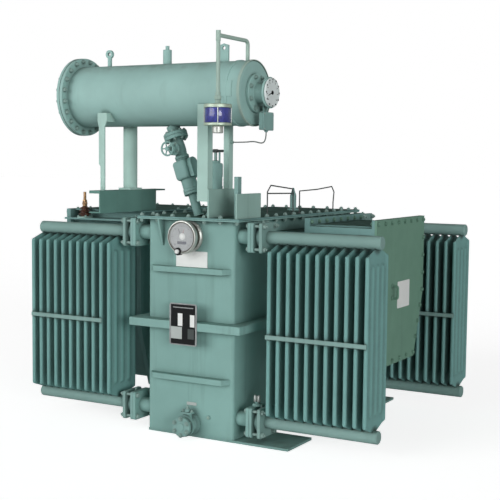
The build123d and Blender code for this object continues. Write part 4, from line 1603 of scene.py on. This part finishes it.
@dataclass
class Conservator:
    """The fasteners, gauge and junction box of the oil conservator."""

    line: Vector = vector_field(0.0, 110.0, 1697.0)
    end_circle: float = 186.0
    end_back: float = -735.0
    joint: tuple = (-754.4, -752.0)
    plate_angles: tuple = (-8.6, 19.3)
    plate_ends: tuple = (195.0, 252.0)
    plate_radii: tuple = (160.0, 157.2)
    neck_face: float = 311.0
    neck_circle: float = 80.0
    screw_circle: float = 64.5
    box_middle: Vector = vector_field(357.0, 110.0, 1560.0)

    def build(self) -> None:
        """Makes the end flange's bolts, the gauge neck, the gauge, the junction box and the trim."""
        self.end_flange()
        self.neck()
        self.gauge()
        self.gauge_marks()
        self.junction()
        self.shell_trim()

    def end_flange(self) -> None:
        """Bolts the blank cover to the left end's flange."""
        bolts, gasket = Form(), Form()
        low, _ = node_box("conservator_end_cover")
        for a in turns(20, 0.5):
            spot = self.line + Vector((0, math.cos(a), math.sin(a))) * self.end_circle
            bolts.bolt(Vector((low.x, spot.y, spot.z)), -X_AXIS, 19, 8)
            bolts.bolt(Vector((self.end_back, spot.y, spot.z)), X_AXIS, 19, 10, 5)
        bolts.piece("shell_end_bolts", Finish.SMALL, "fitting_paint")
        ring = rectangle(160, self.joint[0], 203.6, self.joint[1])
        gasket.turned(self.line, X_AXIS, ring, 96, looped=True)
        gasket.piece("shell_end_gasket", Finish.GASKET, "cable_sheath")

    def shell_trim(self) -> None:
        """Makes the thin bare plate on the shell's front and the ring at its right end."""
        first, last = self.plate_angles
        angles = [math.radians(first + (last - first) * step / 12) for step in range(13)]
        outer, inner = self.plate_radii
        edge = [(outer, a) for a in angles] + [(inner, a) for a in reversed(angles)]
        plate = Form()
        plate.shell([[self.line + Vector((x, -r * math.cos(a), r * math.sin(a))) for r, a in edge]
                     for x in self.plate_ends])
        plate.piece("shell_bare_plate", Finish.SHELL, "conservator_paint")
        ring = Form()
        profile = [(156.5, 281), (161, 282), (161, 293), (159, 294.8), (156.5, 294.8)]
        ring.turned(self.line, X_AXIS, profile, 96, looped=True)
        ring.piece("shell_end_ring", Finish.PIPE, "conservator_paint")

    def neck(self) -> None:
        """Makes the gauge's neck with its two flanges."""
        form = Form()
        profile = [(0, 295), (95, 295), (95, 309), (93, 311), (56, 311), (51, 314), (50, 318), (50, 364),
                   (53, 369), (75, 370), (75, 380), (0, 380)]
        form.turned(self.line, X_AXIS, profile, 80)
        form.piece("gauge_neck_turned", Finish.SHELL, "conservator_paint", ("gauge_neck",), soften=0.8)
        bolts = Form()
        for a in turns(8, 0.5):
            y, z = self.neck_circle * math.cos(a), self.neck_circle * math.sin(a)
            bolts.bolt(self.line + Vector((self.neck_face, y, z)), X_AXIS, 17, 8, 4)
        bolts.piece("gauge_neck_bolts", Finish.SMALL, "fitting_paint")

    def gauge(self) -> None:
        """Makes the round level gauge's case, screws and face."""
        case = Form()
        profile = [(0, 380), (68, 380), (70, 382), (70, 389), (68, 392), (66, 392), (65, 390.5), (65, 388.5),
                   (0, 388.5)]
        case.turned(self.line, X_AXIS, profile, 80)
        case.piece("level_gauge_case", Finish.GAUGE, "dial_metal", ("level_gauge",), soften=0.4)
        screws = Form()
        for a in turns(12):
            spot = self.line + Vector((0, math.cos(a), math.sin(a))) * self.screw_circle
            screws.turned(spot, X_AXIS, [(0, 391), (4.5, 391), (4.5, 392.4), (3, 393), (0, 393)], 12)
        screws.piece("level_gauge_screws", Finish.DARK, "dial_metal")
        face = Form().turned(self.line, X_AXIS, rectangle(0, 388.2, 63, 389.3), 64)
        face.piece("level_gauge_face", Finish.GAUGE, "dial_metal")

    def gauge_marks(self) -> None:
        """Makes the level gauge's hub, marks and pointer."""
        marks = Form()
        profile = [(0, 389.2), (10, 389.2), (10, 390.6), (8, 391.4), (0, 391.4)]
        marks.turned(self.line, X_AXIS, profile, 32)
        for step in range(9):
            a = math.radians(-40 + 260 * step / 8)
            way = Vector((0, math.cos(a), math.sin(a)))
            across = Vector((0, -math.sin(a), math.cos(a)))
            marks.prism(rectangle(47, -1.2, 57, 1.2), self.line + X_AXIS * 389.1, way, across, 0.7)
        a = math.radians(200)
        way, across = Vector((0, math.cos(a), math.sin(a))), Vector((0, -math.sin(a), math.cos(a)))
        marks.prism([(0, -3), (46, -1), (46, 1), (0, 3)], self.line + X_AXIS * 389.6, way, across, 0.8)
        marks.piece("level_gauge_marks", Finish.BLACK, "cable_sheath")

    def junction(self) -> None:
        """Makes the junction box under the neck, with its strap, lid and gland."""
        high = node_box("gauge_junction_box")[1]
        middle = self.box_middle
        box = Form().prism(rounded_outline(96, 84, 7), middle + Vector((-14, 0, 0)), Y_AXIS, Z_AXIS, 21)
        box.prism(rounded_outline(100, 88, 8), middle + Vector((7.6, 0, 0)), Y_AXIS, Z_AXIS, 6.4)
        box.block(middle + Vector((-12, -14, 40)), (middle.x - 6, middle.y + 14, high.z - 1))
        gland = [(0, 42), (12, 42), (12, 46), (9, 46), (9, 50), (0, 50)]
        box.turned(middle, -Z_AXIS, gland, 6)
        box.turned(middle, -Z_AXIS, [(0, 49), (8, 49), (7, 52), (0, 52)], 20)
        box.piece("junction_box_cast", Finish.SHEET_FITTING, "conservator_paint", ("gauge_junction_box",),
                  soften=1.0)
        screws = Form()
        profile = [(0, 0), (4, 0), (4, 1.6), (2.6, 2.6), (0, 2.6)]
        for y in (-42, 42):
            for z in (-36, 36):
                screws.turned(middle + Vector((13.6, y, z)), X_AXIS, profile, 14)
        screws.piece("junction_box_screws", Finish.BOLT, "stud_metal")


@dataclass
class RelayLine:
    """The sloping pipe from the cover to the conservator, with relay and gate valve."""

    low_end: Vector = vector_field(-58.0, 110.0, 1190.0)
    high_end: Vector = vector_field(-184.0, 110.0, 1545.0)

    def __post_init__(self) -> None:
        """Works out the line's directions and starts the form of its bolts."""
        self.way = (self.high_end - self.low_end).normalized()
        self.side = Vector((self.way.z, 0.0, -self.way.x))
        self.bolts = Form()

    def build(self) -> None:
        """Makes the pipe, the relay, the valve and the handwheel."""
        self.pipes()
        self.relay()
        self.valve()
        self.wheels()
        self.bolts.piece("relay_line_bolts", Finish.SMALL, "fitting_paint")

    def spot(self, along: float, aside: float = 0.0, front: float = 0.0) -> Vector:
        """Gives a place along the line, to its upper right side and towards the end wall."""
        return self.low_end + self.way * along + self.side * aside - Y_AXIS * front

    def flange_bolts(self, face: float, way: Vector, radius: float, count: int, across: float) -> None:
        """Puts a circle of bolts on a flange of the line.

        Args:
            face: the flange's face along the line.
            way: which way the bolts point.
            radius: their circle.
            count: how many.
            across: their width across flats.
        """
        for a in turns(count, 0.5):
            place = self.spot(face, radius * math.cos(a), radius * math.sin(a))
            self.bolts.bolt(place, way, across, across * 0.45, across * 0.2, 1.5)

    def pipes(self) -> None:
        """Makes the pipe's lower foot and its upper flanged end."""
        low, high = node_box("sloping_pipes")
        form = Form()
        foot = self.low_end + self.way * ((low.z - self.low_end.z) / self.way.z)
        reach = (self.low_end - foot).length
        form.turned(foot, self.way, [(0, 0), (34, 0), (34, 3), (24, 8), (24, reach + 9), (27, reach + 10),
                                     (42, reach + 10), (42, reach + 23.4), (0, reach + 23.4)], 48)
        top = (high.z - 2 - self.low_end.z) / self.way.z
        form.turned(self.low_end, self.way, [(0, 320.6), (61, 320.6), (61, 335), (59, 336), (38, 337),
                                             (34, 341), (34, top), (0, top)], 64)
        form.piece("line_pipes", Finish.SHEET_FITTING, "fitting_paint", ("sloping_pipes",), soften=0.7)

    def relay(self) -> None:
        """Makes the relay's casting with its side cover."""
        form = Form()
        form.turned(self.low_end, self.way, [(0, 24.6), (42, 24.6), (42, 38), (39, 40), (39, 86), (42, 90),
                                             (0, 90)], 56)
        form.turned(self.low_end, self.way, [(0, 184), (28, 184), (28, 188), (34, 189), (34, 197.6),
                                             (0, 197.6)], 56)
        wide = rounded_outline(112, 76, 14)
        rings = []
        for along, grow in ((90, 0.84), (94, 0.93), (102, 1.0), (174, 1.0), (182, 0.93), (186, 0.84)):
            rings.append([self.spot(along, b * grow, a * grow) for a, b in wide])
        form.shell(rings)
        form.piece("relay_casting", Finish.FITTING, "fitting_paint", ("gas_relay",), soften=1.2)
        ear = Form()
        round_top = [math.pi * step / 12 for step in range(13)]
        arch = [(-34, 90), (34, 90)] + [(34 * math.cos(a), 160 + 30 * math.sin(a)) for a in round_top]
        ear.shell([[self.spot(b, 37.8, a) for a, b in arch], [self.spot(b, 62.0, a) for a, b in arch]])
        ear.piece("relay_side_cover", Finish.TANK, "fitting_paint", soften=2.0)
        self.flange_bolts(38, self.way, 35, 4, 10)

    def valve(self) -> None:
        """Makes the gate valve with its bonnet towards the end wall."""
        form = Form()
        form.turned(self.low_end, self.way, [(0, 198.4), (36, 198.4), (36, 212), (32, 214), (30, 222),
                                             (32, 240), (32, 262), (30, 286), (34, 301), (59, 302),
                                             (61, 304), (61, 319.6), (0, 319.6)], 64)
        bonnet = self.spot(250)
        form.turned(bonnet, -Y_AXIS, [(0, 20), (26, 24), (24, 44), (33, 47), (33, 56), (22, 59), (18, 74),
                                      (13, 78), (0, 78)], 44)
        form.piece("gate_valve_casting", Finish.FITTING, "fitting_paint", ("gate_valve",), soften=1.0)
        self.flange_bolts(302, -self.way, 49, 8, 15)
        self.flange_bolts(336, self.way, 49, 8, 15)
        self.bolts.turned(bonnet, -Y_AXIS, [(0, 78), (7, 78), (7, 107), (5, 108), (0, 108)], 16)
        for a in turns(4, 0.5):
            place = bonnet + (self.way * math.cos(a) + self.side * math.sin(a)) * 27 - Y_AXIS * 56
            self.bolts.bolt(place, -Y_AXIS, 10, 4, 2, 1)

    def wheels(self) -> None:
        """Makes the gate valve's spoked handwheel and the cover valve's cross handle."""
        form = Form()
        hub = self.spot(250) - Y_AXIS * 112
        radius, bar = 38.0, 4.5
        ring = [(radius - bar + bar * math.cos(a), bar * math.sin(a)) for a in turns(12)]
        form.turned(hub, -Y_AXIS, ring, 48, looped=True)
        form.turned(hub, -Y_AXIS, rectangle(0, -5, 11, 5), 24)
        for a in turns(5):
            way = self.way * math.cos(a) + self.side * math.sin(a)
            form.rod([hub + way * 8, hub + way * (radius - bar)], 3.4, 10)
        cross = Form()
        centre = Vector((66, 120, 0))
        for turn in (0, 90):
            a = math.radians(turn + 20)
            way = Vector((math.cos(a), math.sin(a), 0))
            cross.rod([centre + way * t + Z_AXIS * 1417 for t in (-40, -36, 36, 40)], 6.5, 14)
        cross.turned(centre, Z_AXIS, [(0, 1409), (14, 1409), (14, 1424), (10, 1426), (0, 1426)], 28)
        cross.piece("cover_valve_handle", Finish.DARK, "fitting_paint", soften=0.5)
        form.piece("valve_wheels", Finish.FITTING, "fitting_paint", ("handwheels",), soften=0.5)


@dataclass
class CoverFittings:
    """What stands on the tank's cover."""

    top: float = 1090.0
    valve_spot: tuple = (66.0, 120.0)
    pocket_spot: tuple = (50.0, 1000.0)
    post_spot: tuple = (247.0, 32.0)
    post_half: tuple = (11.0, 17.0)
    post_height: float = 202.0
    rail_aside: float = 230.0
    rail_radius: float = 3.5

    def build(self) -> None:
        """Makes the cover valve, the thermometer pocket, the short post, the rails and a leg's face."""
        self.valve()
        self.posts()
        self.valve_bolts()
        self.rails()
        self.leg_face()

    def valve(self) -> None:
        """Makes the cover valve's casting."""
        form = Form()
        foot = Vector((*self.valve_spot, self.top))
        form.turned(foot, Z_AXIS, [(0, 0), (48, 0), (48, 12), (46, 14), (38, 16), (36, 20), (36, 96),
                                   (37, 100), (37, 150), (35, 156), (35, 196), (37, 202), (37, 258),
                                   (34, 266), (25, 267), (24, 277), (12, 280), (0, 280)], 48)
        for x in (-23.0, 23.0):
            form.block(foot + Vector((x - 2.5, -6, 262)), foot + Vector((x + 2.5, 6, 322)))
        form.piece("cover_valve_casting", Finish.FITTING, "fitting_paint", ("cover_valve",), soften=0.9)

    def posts(self) -> None:
        """Makes the thermometer pocket and the short post."""
        form = Form()
        pocket = Vector((*self.pocket_spot, self.top))
        form.turned(pocket, Z_AXIS, [(0, 0), (34, 0), (34, 10), (20, 12), (18, 16), (18, 84), (16, 92),
                                     (9, 112), (6, 128), (0, 130)], 36)
        post = Vector((*self.post_spot, self.top))
        half = Vector((*self.post_half, 0.0))
        form.block(post - half, post + half + Z_AXIS * self.post_height)
        form.piece("cover_posts_cast", Finish.SHEET_FITTING, "fitting_paint", ("cover_posts",), soften=1.0)

    def valve_bolts(self) -> None:
        """Makes the cover valve's stem and the bolts of its foot."""
        foot = Vector((*self.valve_spot, self.top))
        bolts = Form().turned(foot, Z_AXIS, rectangle(0, 280, 8, 320), 16)
        for a in turns(6):
            bolts.bolt(foot + Vector((42 * math.cos(a), 42 * math.sin(a), 13)), Z_AXIS, 11, 5, 2, 1)
        bolts.piece("cover_fitting_bolts", Finish.SMALL, "fitting_paint")

    def leg_face(self) -> None:
        """Makes the smooth front face of the rear support leg."""
        form = Form().block((62.2, 203.6, self.top + 8.3), (93.8, 205.4, 1560.0))
        form.piece("rear_leg_face", Finish.FRAME, "frame_paint", soften=0.4)

    def rails(self) -> None:
        """Makes the thin bent rails along the cover's right edge, on feet."""
        form = Form()
        runs = (((363, 1091), (363, 1212), (399, 1245), (644, 1223), (650, 1204), (650, 1091)),
                ((363, 1204), (650, 1199)),
                ((726, 1091), (726, 1210), (937, 1215), (1132, 1228), (1163, 1196), (1152, 1135),
                 (1152, 1091)))
        for run in runs:
            form.rod([Vector((self.rail_aside, y, z)) for y, z in run], self.rail_radius, 10)
            for y, z in (run[0], run[-1]):
                if z <= self.top + 2:
                    spot = Vector((self.rail_aside, y, self.top))
                    form.turned(spot, Z_AXIS, [(0, 0), (11, 0), (11, 5), (5, 6), (0, 6)], 18)
        form.piece("cover_rails", Finish.DARK, "fitting_paint")


@dataclass
class Breather:
    """The breather under its bent pipe: union, head, glass of drying grains, and cup."""

    line: Vector = vector_field(250.0, -165.0, 0.0)
    rod_circle: float = 63.0

    def build(self) -> None:
        """Makes the castings, the union, the cup, the glass and the tie rods."""
        cast = Form()
        cast.turned(self.line, Z_AXIS, [(0, 1613.3), (63, 1613.3), (66, 1615), (66, 1628), (63, 1631),
                                        (26, 1632), (16, 1633), (0, 1633)], 72)
        cast.turned(self.line, Z_AXIS, [(0, 1528), (30, 1528), (34, 1531), (63, 1531.5),
                                        (66, 1533), (66, 1542), (63, 1544.7), (0, 1544.7)], 72)
        cast.piece("breather_castings", Finish.CAST, "breather_cast", ("breather_ends",), soften=0.6)
        nut = Form().turned(self.line, Z_AXIS, rectangle(0, 1632, 13, 1652), 24)
        nut.turned(self.line, Z_AXIS, [(0, 1652), (17, 1652), (17, 1668), (15, 1670), (0, 1670)], 6)
        nut.turned(self.line, Z_AXIS, [(0, 1670), (12, 1670), (12, 1684), (10, 1686), (0, 1686)], 24)
        nut.piece("breather_union", Finish.PIPE, "breather_cast", soften=0.6)
        cup = Form()
        cup.turned(self.line, Z_AXIS, [(0, 1496), (22, 1496), (26, 1499), (26, 1528), (0, 1528)], 56)
        cup.piece("breather_cup", Finish.DIAL, "breather_cast", soften=0.4)
        glass = Form()
        profile = [(0, 1545), (59, 1545), (60, 1547), (60, 1611), (59, 1613), (0, 1613)]
        glass.turned(self.line, Z_AXIS, profile, 96)
        glass.piece("breather_jar", Finish.GRAINS, "blue_glass", ("breather_glass",), soften=0.8)
        rods = Form()
        for a in turns(4, 0.35):
            place = self.line + Vector((math.cos(a), math.sin(a), 0)) * self.rod_circle
            rods.turned(place, Z_AXIS, rectangle(0, 1543, 2.6, 1615), 10)
        rods.piece("breather_rods", Finish.BOLT, "stud_metal")


def main() -> None:
    """Builds the scene around the frame."""
    logging.basicConfig(level=logging.INFO, format="%(message)s")
    Studio().build()
    GaugeCable().build()
    CarriedNodes().dress()
    for name in ("front_right_fins", "front_left_fins", "rear_right_fins", "rear_left_fins"):
        FinBank(name).build()
    for part in (InnerStraps, RadiatorValves, VentPlug, Dial, EndWallFittings, CoverBolts,
                 HighVoltageBox, LowVoltageBox, Conservator, RelayLine, CoverFittings, Breather):
        part().build()


if __name__ == "__main__":
    main()
